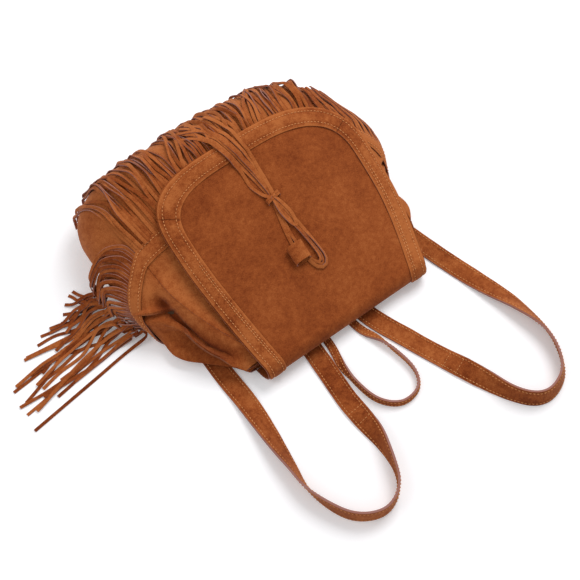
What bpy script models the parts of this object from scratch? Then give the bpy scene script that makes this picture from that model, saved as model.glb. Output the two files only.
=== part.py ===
"""Fringed suede bag, a small flap backpack lying on its back with its straps spread on the floor.

X runs across the bag, -Y points out of its mouth towards the straps and +Z points up, from the
back panel to the front. The origin is on the outer face of the back panel, which lies on the
straps that pass under it. Metres throughout.
"""
import math

import bmesh
import bpy
from mathutils import Vector

# Suede and cloth
SUEDE_T = 0.0014          # one layer of body suede
BAND_T = 0.0012           # the sewn-on bands
LINING_T = 0.0006         # cotton lining
FRINGE_T = 0.0010         # the fringe strips
STRAP_T = 0.0024          # two layers sewn together
CLEAR = 0.0003            # air between two pieces that touch
FLOOR_Z = -STRAP_T - CLEAR

# Body, seen from the front
HINGE_Y = -0.130          # the fold of the flap over the mouth
MOUTH_Y = -0.112          # where the panels end inside the fold
SIDE_END_Y = 0.030        # the sides run straight to here and then round to the bottom
BOTTOM_Y = 0.150
MOUTH_HALF = 0.106
BODY_HALF = 0.163
TAPER_LENGTH = 0.150      # from the narrow mouth to the full width
TAPER_POWER = 1.7
LEAN_X = 0.019            # the bag sags this far to its left
MOUTH_MID_X = 0.006
STRAIGHT_SHARE = 0.55     # share of each side's outline that runs straight
SIDE_POWER = 3.0          # exponents of the rounded outline
BOTTOM_POWER = 4.0
CORNER_POWER = 6.5        # the bottom's left corner is pushed out squarer
CORNER_START = 0.25       # and that sets in between these shares of the half width
CORNER_FULL = 0.75
DOME_POWER = 0.6
RIGHT_BELLY = 0.010       # the right side bulges by this much at the yoke band
BELLY_START_Y = -0.020
BELLY_FULL_Y = 0.015
BELLY_FADE_Y = 0.035
BELLY_END_Y = 0.085
LOW_BULGE = 0.015         # and both sides low down, near the mouth
LOW_BULGE_Y = -0.058
LOW_BULGE_LENGTH = 0.026

# Body, seen from the side
MOUTH_RIM_Z = 0.010       # height of the widest line at the mouth
BODY_RIM_Z = 0.038        # and along the filled part
RIM_RISE = 0.160
MOUTH_TOP_Z = 0.0155
FRONT_SLOPE = 0.445       # rise of the front from mouth to bottom
FRONT_TOP_Z = 0.1125
TOP_BLEND = 0.012
FRONT_SEAM = 0.78         # front panel's edge, as a share of the outline
BACK_SEAM = 0.88          # back panel's edge
PLEAT_START_Y = -0.085    # the side folds in like a bellows towards the mouth
PLEAT_END_Y = -0.010
SEAM_E = 0.014            # the panels' edges stay this far apart, in units of the section
BACK_INSET = 0.986        # share of the back seam's outline that the back panel fills
RING_COLUMNS = 28

# Cotton pouch inside
LINING_GAP = 0.0036       # under the front panel
LINING_WIDE = 0.90        # shares of the half width, where the bag is full and where it is folded in
LINING_NARROW = 0.60
LINING_START = 0.002      # inside the mouth
LINING_END = 0.014        # short of the bottom
LINING_COLUMNS = 16

# Flap
FLAP_HALF = 0.1045
FLAP_FLARE = 0.0195
FLAP_FLARE_LENGTH = 0.130
FLAP_MID_X = 0.0045
FLAP_SHIFT = 0.0070
FLAP_SHIFT_LENGTH = 0.100
FLAP_CORNER_Y = 0.0
FLAP_END_Y = 0.0755
FLAP_POWER_LEFT = 4.0
FLAP_POWER_RIGHT = 2.9
FLAP_LIFT = 0.0064        # outer face of the flap above the front panel
FLAP_SPREAD = 1.12        # the flap falls away less than the front under it
FOLD_RADIUS = 0.0135
FOLD_Y = -0.119
FOLD_TURN = math.radians(156)     # from flat on the back, round to the slope of the front
FOLD_END_Y = FOLD_Y + FOLD_RADIUS * math.cos(1.5 * math.pi - FOLD_TURN)
FOLD_END_Z = FOLD_RADIUS + FOLD_RADIUS * math.sin(1.5 * math.pi - FOLD_TURN)
FOLD_BLEND = 0.020                # past the fold, the flap settles on the front over this length
FOLD_SHARE = (0.04, 0.42)         # share of the flap's path that is flat on the back, then folding
FLAP_STRAIGHT = 0.70              # share of the flap's rows before its corners
FLAP_CORNER_TURN = math.radians(80)
FLAP_BAND_W = 0.020
FLAP_BAND_INSET = 0.0010          # the flap's own edge shows outside the band
FLAP_BAND_START = 0.16            # the band starts half way round the fold
FLAP_LINING_INSET = 0.003
FLAP_LINING_START = 0.31
FLAP_LINING_END = 0.94
FLAP_LINING_GAP = 0.0005
BAND_SEAM_LEFT = 0.367    # joints between the three lengths of flap band, along the U
BAND_SEAM_RIGHT = 0.633
BAND_LIFT = 0.0006

# Yoke band and fringe
YOKE_Y = 0.034            # centre of the band across the front
YOKE_W = 0.019
YOKE_SWEEP = 0.062        # its ends sweep this far back towards the mouth at the floor
YOKE_EASE = 0.06          # how softly the sweep sets in
YOKE_SWEEP_POWER = 1.6
YOKE_LIFT = 0.0010
FRINGE_LENGTH = 0.152
STRIP_W = 0.0034
STRIP_PITCH = 0.0054
HEADER_W = 0.0030
HEADER_GAP = 0.0014
HEADER_LIFT = 0.0016      # middle of the header above the skin, at its root and at its edge
HEADER_EDGE_LIFT = 0.0020
HEADERS_APART = 0.09      # room between the headers of the front and the sides
STRIP_WAVE = 0.0075       # a front strip wanders sideways by this, to the run below
STRIP_WAVE_LENGTH = 0.016
STRIP_RUN = 0.12
STRIP_FAN = 0.16          # and the strips fan out towards the sides
RIM_SHARE = 0.03          # where a strip leaves the front for its fall
FALL_DRIFT = 0.55         # it drifts out by this share of its fall
LOWEST_TIP_Z = 0.004      # a hanging strip stops above the floor
STRIP_STEPS = 8
FRINGE_LIFT = 0.0024      # middle of a strip above the skin, where it lies on it
FRONT_LEFT = -1.02        # the front fringe runs between these positions on the section
FRONT_RIGHT = 0.835
SIDE_REACH = 2.66         # the side fringes go on down to here
YOKE_REACH = 2.72

# Straps and handle
STRAP_W = 0.022
HANDLE_W = 0.009
STRAP_TILT = math.radians(74)
HANDLE_TILT = math.radians(82)

# Tassel on the flap
TAB_LENGTH = 0.018
TAB_HALF_W = 0.0100
TAB_HALF_H = 0.0052
TASSEL_STRIPS = 4
TASSEL_STRIP_W = 0.0028
TASSEL_T = 0.0012
KNOT_W = 0.0045

SUEDE_TAN = (0.30, 0.085, 0.020, 1.0)
SUEDE_DARK = (0.24, 0.065, 0.016, 1.0)
SUEDE_LIGHT = (0.36, 0.105, 0.027, 1.0)
COTTON_BROWN = (0.10, 0.055, 0.030, 1.0)


def smooth(t):
    """Ease from 0 to 1."""
    t = min(max(t, 0.0), 1.0)
    return t * t * (3.0 - 2.0 * t)


def mix(a, b, t):
    return a + (b - a) * t


# Shape of the filled bag
def grow(y):
    t = min(max((y - HINGE_Y) / TAPER_LENGTH, 0.0), 1.0)
    return 1.0 - (1.0 - t) ** TAPER_POWER


def belly(y):
    """Extra width of the right side, at its most by the yoke band."""
    rise = smooth((y - BELLY_START_Y) / (BELLY_FULL_Y - BELLY_START_Y))
    return RIGHT_BELLY * rise * (1.0 - smooth((y - BELLY_FADE_Y) / (BELLY_END_Y - BELLY_FADE_Y)))


def half_width(y):
    return mix(MOUTH_HALF, BODY_HALF, grow(y)) + 0.5 * belly(y)


def mid_x(y):
    return MOUTH_MID_X - LEAN_X * grow(y) + 0.5 * belly(y)


def rim_z(y):
    return mix(MOUTH_RIM_Z, BODY_RIM_Z, min(max((y - HINGE_Y) / RIM_RISE, 0.0), 1.0))


def spine_z(y):
    """Height of the front along the middle: a slope that levels off."""
    slope = MOUTH_TOP_Z + FRONT_SLOPE * (y - HINGE_Y)
    h = min(max(0.5 + 0.5 * (FRONT_TOP_Z - slope) / TOP_BLEND, 0.0), 1.0)
    return mix(FRONT_TOP_Z, slope, h) - TOP_BLEND * h * (1.0 - h)


def along(y):
    """0 up to where the outline starts to round, 1 at the bottom."""
    return max(0.0, (y - SIDE_END_Y) / (BOTTOM_Y - SIDE_END_Y))


def bottom_power(across):
    """Exponent of the bottom's rounding at a share of the half width, negative on the left."""
    return mix(BOTTOM_POWER, CORNER_POWER, smooth((-across - CORNER_START) / (CORNER_FULL - CORNER_START)))


def inside_share(across, down):
    """1 in the middle of the filled body, 0 on its outline."""
    return 1.0 - abs(across) ** SIDE_POWER - down ** bottom_power(across)


def front_z(x, y, spread=1.0):
    """Height of the front over a point of the plan."""
    inside = inside_share((x - mid_x(y)) / (half_width(y) * spread), along(y))
    if inside <= 0.0:
        return rim_z(y)
    return rim_z(y) + (spine_z(y) - rim_z(y)) * inside ** DOME_POWER


def reach(side, y):
    """Share of the half width that the outline has at y."""
    return max(0.0, 1.0 - along(y) ** bottom_power(side)) ** (1.0 / SIDE_POWER)


def outline(w):
    """Point w of the U-shaped outline, from the left of the mouth (0) to its right (1)."""
    side = -1.0 if w < 0.5 else 1.0
    t = 1.0 - abs(2.0 * w - 1.0)
    if t < STRAIGHT_SHARE:
        return side, 0.0, mix(MOUTH_Y, SIDE_END_Y, t / STRAIGHT_SHARE)
    phi = 0.5 * math.pi * (t - STRAIGHT_SHARE) / (1.0 - STRAIGHT_SHARE)
    across = side * math.cos(phi) ** (2.0 / SIDE_POWER)
    return across, math.sin(phi) ** (2.0 / bottom_power(across)), SIDE_END_Y


def low_bulge(y, e):
    """How far the side swells out under its widest line, near the mouth."""
    low = math.sin(math.pi * min(max(e - 2.0, 0.0), 1.0))
    return LOW_BULGE * low * math.exp(-((y - LOW_BULGE_Y) / LOW_BULGE_LENGTH) ** 2)


def ring_point(w, e):
    """Body skin at outline point w: e = 1 front seam, 2 widest line, 3 back seam."""
    across, down, y_side = outline(w)
    if e <= 2.0:
        share = mix(FRONT_SEAM, 1.0, math.sin(0.5 * math.pi * (e - 1.0)))
    else:
        share = 1.0 - (1.0 - BACK_SEAM) * (1.0 - math.cos(0.5 * math.pi * (e - 2.0)))
    y = y_side + (BOTTOM_Y - SIDE_END_Y) * down * share
    x = mid_x(y) + half_width(y) * across * share
    inside = max(0.0, inside_share(across * share, down * share))
    if e <= 2.0:
        z = rim_z(y) + (spine_z(y) - rim_z(y)) * inside ** DOME_POWER
    else:
        z = rim_z(y) * (1.0 - math.sin(0.5 * math.pi * (e - 2.0)))
    return Vector((x, y, z))


# The bellows fold at each side of the mouth, as (e, share of the width, share of the seam height)
BELLOWS = (
    (1.00, 0.78, 1.00),
    (1.15, 0.93, 0.90),
    (1.30, 1.00, 0.74),
    (1.50, 0.90, 0.62),
    (1.75, 0.71, 0.58),
    (2.00, 0.70, 0.48),
    (2.25, 0.88, 0.42),
    (2.45, 0.96, 0.30),
    (2.70, 0.93, 0.10),
    (3.00, 0.88, 0.00),
)


def side_point(w, e):
    """Skin of the gusset: the filled side, folded in towards the mouth."""
    p = ring_point(w, e)
    across, _, y_side = outline(w)
    swell = Vector((across * low_bulge(p.y, e), 0.0, 0.0))
    fold = 1.0 - smooth((y_side - PLEAT_START_Y) / (PLEAT_END_Y - PLEAT_START_Y))
    if fold <= 0.0:
        return p + swell
    for (e0, s0, h0), (e1, s1, h1) in zip(BELLOWS, BELLOWS[1:]):
        if e <= e1 + 1e-9:
            t = (e - e0) / (e1 - e0)
            share, height = mix(s0, s1, t), mix(h0, h1, t)
            break
    seam = ring_point(w, 1.0).z
    folded = Vector((mid_x(p.y) + half_width(p.y) * across * share, p.y, seam * height))
    return p.lerp(folded, fold) + swell


def section_point(side, e, y):
    """Body skin at a given y: e = 0 middle of the front, 1 front seam, 2 widest line, 3 back seam."""
    if e <= 1.0:
        share = FRONT_SEAM * e
    elif e <= 2.0:
        share = mix(FRONT_SEAM, 1.0, math.sin(0.5 * math.pi * (e - 1.0)))
    else:
        share = 1.0 - (1.0 - BACK_SEAM) * (1.0 - math.cos(0.5 * math.pi * (e - 2.0)))
    x = mid_x(y) + side * (half_width(y) * reach(side, y) * share + low_bulge(y, e))
    if e <= 2.0:
        return Vector((x, y, front_z(x, y)))
    return Vector((x, y, rim_z(y) * (1.0 - math.sin(0.5 * math.pi * (e - 2.0)))))


def lifted(skin, u, v, height, du=0.004, dv=0.002):
    """Point above a skin, along its normal."""
    p = skin(u, v)
    a = skin(u + du, v) - skin(u - du, v)
    b = skin(u, v + dv) - skin(u, v - dv)
    n = a.cross(b).normalized()
    return p + n * height


# Blender helpers
def material(name, colour, roughness):
    mat = bpy.data.materials.get(name)
    if mat is None:
        mat = bpy.data.materials.new(name)
        mat.use_nodes = True
        shader = mat.node_tree.nodes["Principled BSDF"]
        shader.inputs["Base Color"].default_value = colour
        shader.inputs["Roughness"].default_value = roughness
        shader.inputs["Metallic"].default_value = 0.0
    return mat


def link(name, bm, collection, colour, roughness=0.95):
    """Make the object of a bmesh, with its own material."""
    bmesh.ops.remove_doubles(bm, verts=bm.verts, dist=1e-6)
    mesh = bpy.data.meshes.new(name)
    bm.to_mesh(mesh)
    bm.free()
    mesh.materials.append(material(name, colour, roughness))
    mesh.shade_smooth()
    mesh.set_sharp_from_angle(angle=math.radians(50))
    obj = bpy.data.objects.new(name, mesh)
    collection.objects.link(obj)
    return obj


def thicken(obj, thickness, offset):
    """Solidify an open sheet: offset 1 adds on the side that its faces look to, -1 behind them."""
    mod = obj.modifiers.new("thickness", "SOLIDIFY")
    mod.thickness = thickness
    mod.offset = offset
    mod.use_even_offset = False
    mod.use_quality_normals = True
    return obj


def grid(columns, rows, place):
    """A grid of columns x rows faces, each corner moved to place(u, v) with u, v in 0..1."""
    bm = bmesh.new()
    bmesh.ops.create_grid(bm, x_segments=columns, y_segments=rows, size=0.5)
    for vert in bm.verts:
        vert.co = place(vert.co.x + 0.5, vert.co.y + 0.5)
    return bm


# Body panels
def front_panel(collection):
    def place(u, v):
        left = ring_point(0.5 * v, 1.0)
        right = ring_point(1.0 - 0.5 * v, 1.0)
        x, y = mix(left.x, right.x, u), mix(left.y, right.y, u)
        return Vector((x, y, front_z(x, y)))

    bm = grid(12, RING_COLUMNS // 2, place)
    return thicken(link("front_panel", bm, collection, SUEDE_TAN), SUEDE_T, -1.0)


def gusset(collection):
    """Sides and bottom in one strip, from the front seam round to the back seam."""
    def place(u, v):
        return side_point(u, mix(1.0 + SEAM_E, 3.0, v))

    bm = grid(RING_COLUMNS, 11, place)
    return thicken(link("gusset", bm, collection, SUEDE_LIGHT), SUEDE_T, -1.0)


def back_panel(collection):
    def place(u, v):
        left = ring_point(0.5 * v, 3.0)
        right = ring_point(1.0 - 0.5 * v, 3.0)
        y = mix(left.y, right.y, u)
        middle = mid_x(y)
        x = middle + (mix(left.x, right.x, u) - middle) * BACK_INSET
        return Vector((x, mix(MOUTH_Y, y, BACK_INSET), 0.0))

    bm = grid(8, RING_COLUMNS // 2, place)
    return thicken(link("back_panel", bm, collection, SUEDE_DARK), SUEDE_T, 1.0)


def lining(collection):
    """A cotton pouch that follows the panels on the inside, open at the mouth."""
    floor_gap = SUEDE_T + LINING_T + CLEAR
    rows_crowd = 1.6      # the rows lie closer together towards the closed end

    def place(u, v):
        y = mix(MOUTH_Y + LINING_START, BOTTOM_Y - LINING_END, 1.0 - (1.0 - v) ** rows_crowd)
        fold = 1.0 - smooth((y - PLEAT_START_Y) / (PLEAT_END_Y - PLEAT_START_Y))
        angle = 2.0 * math.pi * (u + 0.5 / LINING_COLUMNS)
        share = mix(LINING_WIDE, LINING_NARROW, fold) * reach(math.copysign(1.0, math.cos(angle)), y)
        x = mid_x(y) + half_width(y) * share * math.cos(angle)
        closing = math.sqrt(max(0.0, 1.0 - v ** 4))
        lift = abs(math.sin(angle)) ** 0.7 * closing
        if math.sin(angle) >= 0.0:
            return Vector((x, y, rim_z(y) + max(front_z(x, y) - LINING_GAP - rim_z(y), LINING_GAP) * lift))
        return Vector((x, y, rim_z(y) - (rim_z(y) - floor_gap) * lift))

    bm = grid(LINING_COLUMNS, 11, place)
    return thicken(link("lining", bm, collection, COTTON_BROWN), LINING_T, -1.0)


# Flap
def flap_half(y):
    t = min(max((y - HINGE_Y) / FLAP_FLARE_LENGTH, 0.0), 1.0)
    return FLAP_HALF + FLAP_FLARE * math.sin(0.5 * math.pi * t)


def flap_mid(y):
    t = min(max((y - HINGE_Y) / FLAP_SHIFT_LENGTH, 0.0), 1.0)
    return FLAP_MID_X + FLAP_SHIFT * math.sin(0.5 * math.pi * t)


def flap_z(x, y):
    """Outer face of the flap over a point of the plan, past the fold."""
    over = front_z(x, y, FLAP_SPREAD) + FLAP_LIFT
    step = FOLD_END_Z - front_z(x, FOLD_END_Y, FLAP_SPREAD) - FLAP_LIFT
    return over + step * math.exp(-max(0.0, y - FOLD_END_Y) / FOLD_BLEND)


def flap_at(x, q):
    """Outer face of the flap at x, with q = 0 at the back panel and 1 at the corner's start."""
    flat, fold = FOLD_SHARE
    if q < flat:
        return Vector((x, mix(MOUTH_Y - 2.0 * CLEAR, FOLD_Y, q / flat), 0.0))
    if q < fold:
        angle = 1.5 * math.pi - FOLD_TURN * (q - flat) / (fold - flat)
        return Vector((x, FOLD_Y + FOLD_RADIUS * math.cos(angle), FOLD_RADIUS * (1.0 + math.sin(angle))))
    y = mix(FOLD_END_Y, FLAP_CORNER_Y, (q - fold) / (1.0 - fold))
    return Vector((x, y, flap_z(x, y)))


def flap_edge(side, t, inset, turn=FLAP_CORNER_TURN):
    """Point of the flap's outer face on a line inset from its edge; t runs from back to far end."""
    power = FLAP_POWER_LEFT if side < 0 else FLAP_POWER_RIGHT
    if t < FLAP_STRAIGHT:
        q = t / FLAP_STRAIGHT
        y = flap_at(0.0, q).y
        return flap_at(flap_mid(y) + side * (flap_half(y) - inset), q)
    phi = turn * (t - FLAP_STRAIGHT) / (1.0 - FLAP_STRAIGHT)
    y = FLAP_CORNER_Y + (FLAP_END_Y - inset - FLAP_CORNER_Y) * math.sin(phi) ** (2.0 / power)
    x = flap_mid(y) + side * (flap_half(y) - inset) * math.cos(phi) ** (2.0 / power)
    return Vector((x, y, flap_z(x, y)))


def flap_skin(u, t, inset=0.0):
    """Outer face of the flap between its left (u = 0) and right (u = 1) edge."""
    left, right = flap_edge(-1, t, inset), flap_edge(1, t, inset)
    x, y = mix(left.x, right.x, u), mix(left.y, right.y, u)
    if t < FLAP_STRAIGHT:
        return flap_at(x, t / FLAP_STRAIGHT)
    return Vector((x, y, flap_z(x, y)))


def flap_panel(collection):
    bm = grid(10, 24, flap_skin)
    return thicken(link("flap_panel", bm, collection, SUEDE_TAN), SUEDE_T, -1.0)


def flap_lining(collection):
    depth = SUEDE_T + FLAP_LINING_GAP

    def skin(u, t):
        return flap_skin(u, t, FLAP_LINING_INSET)

    def place(u, v):
        return lifted(skin, u, mix(FLAP_LINING_START, FLAP_LINING_END, v), -depth, 0.02, 0.01)

    bm = grid(8, 14, place)
    return thicken(link("flap_lining", bm, collection, COTTON_BROWN), LINING_T, -1.0)


def flap_band(collection, name, start, end, columns):
    """One length of the band sewn round the flap's edge, between two shares of the U."""
    def skin(m, n):
        side = -1 if m < 0.5 else 1
        t = mix(FLAP_BAND_START, 1.0, 1.0 - abs(2.0 * m - 1.0))
        return flap_edge(side, t, FLAP_BAND_INSET + n * FLAP_BAND_W, 0.5 * math.pi)

    def place(u, v):
        m = mix(start, end, u)
        a = skin(m, v)
        forward = skin(min(m + 0.002, 1.0), v) - skin(max(m - 0.002, 0.0), v)
        inward = skin(m, 1.0) - skin(m, 0.0)
        return a + inward.cross(forward).normalized() * BAND_LIFT

    bm = grid(columns, 2, place)
    for face in bm.faces:
        face.normal_flip()
    return thicken(link(name, bm, collection, SUEDE_LIGHT), BAND_T, 1.0)


# Yoke band and fringe
def skin(s, y):
    """Body skin at section position s, negative on the left, and y."""
    return section_point(-1 if s < 0.0 else 1, abs(s), y)


def yoke_y(s):
    """Middle of the yoke band: straight across the front, swept towards the mouth at the sides."""
    past = 0.5 * (abs(s) - 1.0)
    t = min(0.5 * (past + math.hypot(past, YOKE_EASE)), 1.0)
    return YOKE_Y - YOKE_SWEEP * (1.0 - (1.0 - t) ** YOKE_SWEEP_POWER)


def yoke_band(collection):
    def place(u, v):
        s = mix(-YOKE_REACH, YOKE_REACH, u)
        return lifted(skin, s, yoke_y(s) + (v - 0.5) * YOKE_W, YOKE_LIFT)

    bm = grid(44, 2, place)
    return thicken(link("yoke_band", bm, collection, SUEDE_LIGHT), BAND_T, 1.0)


def comb(collection, name, strips, colour):
    """A header with strips cut from it: each strip is its rows of (middle, half width) vectors."""
    rows = len(strips[0]) - 1
    columns = 2 * len(strips) - 1
    bm = bmesh.new()
    bmesh.ops.create_grid(bm, x_segments=columns, y_segments=rows, size=0.5)
    slits = []
    for face in bm.faces:
        middle = face.calc_center_median()
        column = int((middle.x + 0.5) * columns)
        row = int((middle.y + 0.5) * rows)
        if column % 2 == 1 and row > 0:
            slits.append(face)
    bmesh.ops.delete(bm, geom=slits, context="FACES")
    for vert in bm.verts:
        column = round((vert.co.x + 0.5) * columns)
        row = round((vert.co.y + 0.5) * rows)
        middle, half = strips[column // 2][row]
        vert.co = middle - half if column % 2 == 0 else middle + half
    return thicken(link(name, bm, collection, colour), FRINGE_T, 0.0)


def with_sides(points, normals, width, header=None):
    """Rows of a strip: each point with its half-width vector, square to the run and the normal.

    header is the direction of the edge that the strip is cut from, for its first two rows.
    """
    rows = []
    for i, point in enumerate(points):
        run = points[min(i + 1, len(points) - 1)] - points[max(i - 1, 0)]
        aside = run.cross(normals[i]).normalized()
        if header is not None and i < 2:
            aside = header
        rows.append((point, aside * (0.5 * width)))
    return rows


def spaced(points, count):
    """count + 1 points at even distances along a polyline."""
    run = [0.0]
    for a, b in zip(points, points[1:]):
        run.append(run[-1] + (b - a).length)
    result = []
    k = 0
    for i in range(count + 1):
        goal = run[-1] * i / count
        while k < len(points) - 2 and run[k + 1] < goal:
            k += 1
        t = (goal - run[k]) / max(run[k + 1] - run[k], 1e-9)
        result.append(points[k].lerp(points[k + 1], t))
    return result


def header_rows(s):
    """Root and edge of the fringe's header at section position s."""
    y = yoke_y(s) + 0.5 * YOKE_W + HEADER_GAP
    return lifted(skin, s, y, HEADER_LIFT), lifted(skin, s, y + HEADER_W, HEADER_EDGE_LIFT)


def header_run(s):
    """Direction of the header's edge at section position s."""
    return (header_rows(s + 0.02)[1] - header_rows(s - 0.02)[1]).normalized()


def skin_normal(s, y):
    """Normal of the skin, evened out over a stretch of the section."""
    return (lifted(skin, s, y, 1.0, 0.25) - skin(s, y)).normalized()


def steepness(x, y):
    """Length of the front's slope over its plan, which turns a height above it into a clearance."""
    d = 0.001
    dx = (front_z(x + d, y) - front_z(x - d, y)) / (2.0 * d)
    dy = (front_z(x, y + d) - front_z(x, y - d)) / (2.0 * d)
    return min(math.sqrt(1.0 + dx * dx + dy * dy), 3.0)


def front_strip(s):
    """A strip that lies over the front and hangs down over the bottom edge."""
    root, edge = header_rows(s)
    step = 0.001
    points = [edge.copy()]
    length = 0.0
    falling = False
    while length < FRINGE_LENGTH - HEADER_W and points[-1].z > LOWEST_TIP_Z:
        x, y, z = points[-1]
        across = (x - mid_x(y)) / half_width(y)
        inside = inside_share(across, along(y))
        falling = falling or inside < RIM_SHARE
        if falling:
            # off the rim: outwards until it clears the widest line, then straight down
            out = Vector((across * abs(across) / half_width(y) * 3.0,
                          along(y) ** 3 / (BOTTOM_Y - SIDE_END_Y) * 4.0, 0.0)).normalized()
            drift = FALL_DRIFT if z > rim_z(y) - LOWEST_TIP_Z else 0.0
            point = Vector((x, y, z - step)) + out * step * drift
        else:
            sway = STRIP_WAVE * math.cos(x / STRIP_WAVE_LENGTH + 1.0) + STRIP_FAN * (x - mid_x(y))
            run = Vector((sway, STRIP_RUN, 0.0)).normalized() * step
            height = front_z(x + run.x, y + run.y) + FRINGE_LIFT * steepness(x, y)
            point = Vector((x + run.x, y + run.y, max(height, z - 2.0 * step)))
        length += (point - points[-1]).length
        points.append(point)
    points = spaced(points, STRIP_STEPS)
    normal = skin_normal(s, yoke_y(s) + 0.5 * YOKE_W)
    normals = [normal, normal]
    for before, after in zip(points, points[1:]):
        normals.append(Vector((1.0, 0.0, 0.0)).cross(after - before).normalized())
    return with_sides([root] + points, normals, STRIP_W, header_run(s))


def root_places(start, end):
    """Section positions spaced one strip pitch apart along the yoke band's lower edge."""
    places = [start]
    step = 0.002 if end > start else -0.002
    s = start
    last = header_rows(s)[1]
    while abs(s - end) > abs(step):
        s += step
        here = header_rows(s)[1]
        if (here - last).length >= STRIP_PITCH:
            places.append(s)
            last = here
    return places


def bezier(a, b, c, d, t):
    u = 1.0 - t
    return a * (u ** 3) + b * (3 * u * u * t) + c * (3 * u * t * t) + d * (t ** 3)


LEFT_END_FIRST = Vector((-0.226, 0.082, 0.0))     # tip of the uppermost strip on the floor
LEFT_END_LAST = Vector((-0.318, -0.034, 0.0))     # tip of the lowest one
LEFT_END_BOW = 0.020      # the tips between them lie on a bow
ARCH_OUTWARD = 0.65       # a strip's first direction: away from the side, with a part down its face
ARCH_DOWN = (0.55, 0.15)  # for the uppermost and the lowest strip
ARCH_REACH = (0.060, 0.036)
ARCH_RISE = 0.20          # the direction away from the side points up by at least this
LANDING = 0.50            # the strip meets the floor on this share of the way back from its tip
LANDING_LIFT = 0.012
LANDING_SHIFT = 0.010


def left_strip(s, share):
    """A strip that arches off the left side and lies out over the floor."""
    root, edge = header_rows(s)
    normal = skin_normal(s, yoke_y(s) + 0.5 * YOKE_W)
    down = (edge - root).normalized()
    outward = Vector((normal.x, normal.y, max(normal.z, ARCH_RISE))).normalized()
    tip = LEFT_END_FIRST.lerp(LEFT_END_LAST, share)
    tip.x -= LEFT_END_BOW * math.sin(math.pi * share)
    tip.z = FLOOR_Z + 0.5 * FRINGE_T + CLEAR
    out = edge + (down * mix(*ARCH_DOWN, share) + outward * ARCH_OUTWARD) * mix(*ARCH_REACH, share)
    low = tip.lerp(Vector((edge.x, edge.y, tip.z)), LANDING)
    low.z += LANDING_LIFT * (1.0 - share)
    low.x -= LANDING_SHIFT * (1.0 - share)
    points = spaced([bezier(edge, out, low, tip, i / 60.0) for i in range(61)], STRIP_STEPS)
    for point in points[2:]:
        point.z = max(point.z, tip.z)
    normals = [outward]
    for i in range(STRIP_STEPS + 1):
        normals.append(outward.lerp(Vector((0.0, 0.0, 1.0)), smooth(i / STRIP_STEPS * 1.4)))
    return with_sides([root] + points, normals, STRIP_W, header_run(s))


RIGHT_END_Y = 0.100
RIGHT_END_S = 1.06        # the uppermost strip has slid down to here at its end
RIGHT_LIFT = 0.0030       # middle of these strips above the skin


def right_strip(s, share):
    """A strip that lies back along the right side of the bag."""
    root, edge = header_rows(s)
    start = yoke_y(s) + 0.5 * YOKE_W + HEADER_GAP + HEADER_W
    points = [edge]
    normals = [skin_normal(s, start - HEADER_W), skin_normal(s, start)]
    for i in range(1, STRIP_STEPS + 1):
        t = i / STRIP_STEPS
        y = mix(start, RIGHT_END_Y, t)
        here = mix(s, mix(RIGHT_END_S, SIDE_REACH, share), t)
        points.append(lifted(skin, here, y, RIGHT_LIFT, 0.15))
        normals.append(skin_normal(here, y))
    return with_sides([root] + points, normals, STRIP_W, header_run(s))


def fringes(collection):
    front = [front_strip(s) for s in root_places(FRONT_LEFT, FRONT_RIGHT)]
    comb(collection, "fringe_front", front, SUEDE_TAN)
    places = root_places(FRONT_LEFT - HEADERS_APART, -SIDE_REACH)
    left = [left_strip(s, i / (len(places) - 1)) for i, s in enumerate(places)]
    left.reverse()
    comb(collection, "fringe_left", left, SUEDE_TAN)
    places = root_places(FRONT_RIGHT + HEADERS_APART, SIDE_REACH)
    right = [right_strip(s, i / (len(places) - 1)) for i, s in enumerate(places)]
    comb(collection, "fringe_right", right, SUEDE_TAN)


# Straps and handle
def route(points, count):
    """Evenly spaced points of a smooth curve through the given plan points."""
    pts = [Vector((x, y, 0.0)) for x, y in points]
    pts = [pts[0] * 2.0 - pts[1]] + pts + [pts[-1] * 2.0 - pts[-2]]
    fine = []
    for a, b, c, d in zip(pts, pts[1:], pts[2:], pts[3:]):
        for i in range(16):
            t = i / 16.0
            fine.append(0.5 * (2.0 * b + (c - a) * t + (2.0 * a - 5.0 * b + 4.0 * c - d) * t * t
                               + (3.0 * b - a - 3.0 * c + d) * t ** 3))
    fine.append(pts[-2])
    return spaced(fine, count)


LEFT_STRAP = (
    (-0.040, -0.086), (-0.041, -0.130), (-0.047, -0.196), (-0.050, -0.255), (-0.063, -0.296),
    (-0.091, -0.311), (-0.121, -0.295), (-0.138, -0.254), (-0.137, -0.213), (-0.131, -0.139),
    (-0.131, -0.088), (-0.126, -0.010), (-0.116, 0.085),
)
RIGHT_STRAP = (
    (0.030, -0.086), (0.031, -0.130), (0.048, -0.180), (0.066, -0.228), (0.089, -0.292),
    (0.115, -0.316), (0.148, -0.305), (0.166, -0.266), (0.163, -0.220), (0.151, -0.172),
    (0.134, -0.106), (0.117, -0.020), (0.103, 0.085),
)
HANDLE = (
    (-0.0215, -0.086), (-0.0225, -0.134), (-0.029, -0.168), (-0.0245, -0.210), (-0.006, -0.231),
    (0.018, -0.229), (0.029, -0.208), (0.024, -0.168), (0.013, -0.134), (0.0115, -0.086),
)


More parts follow.
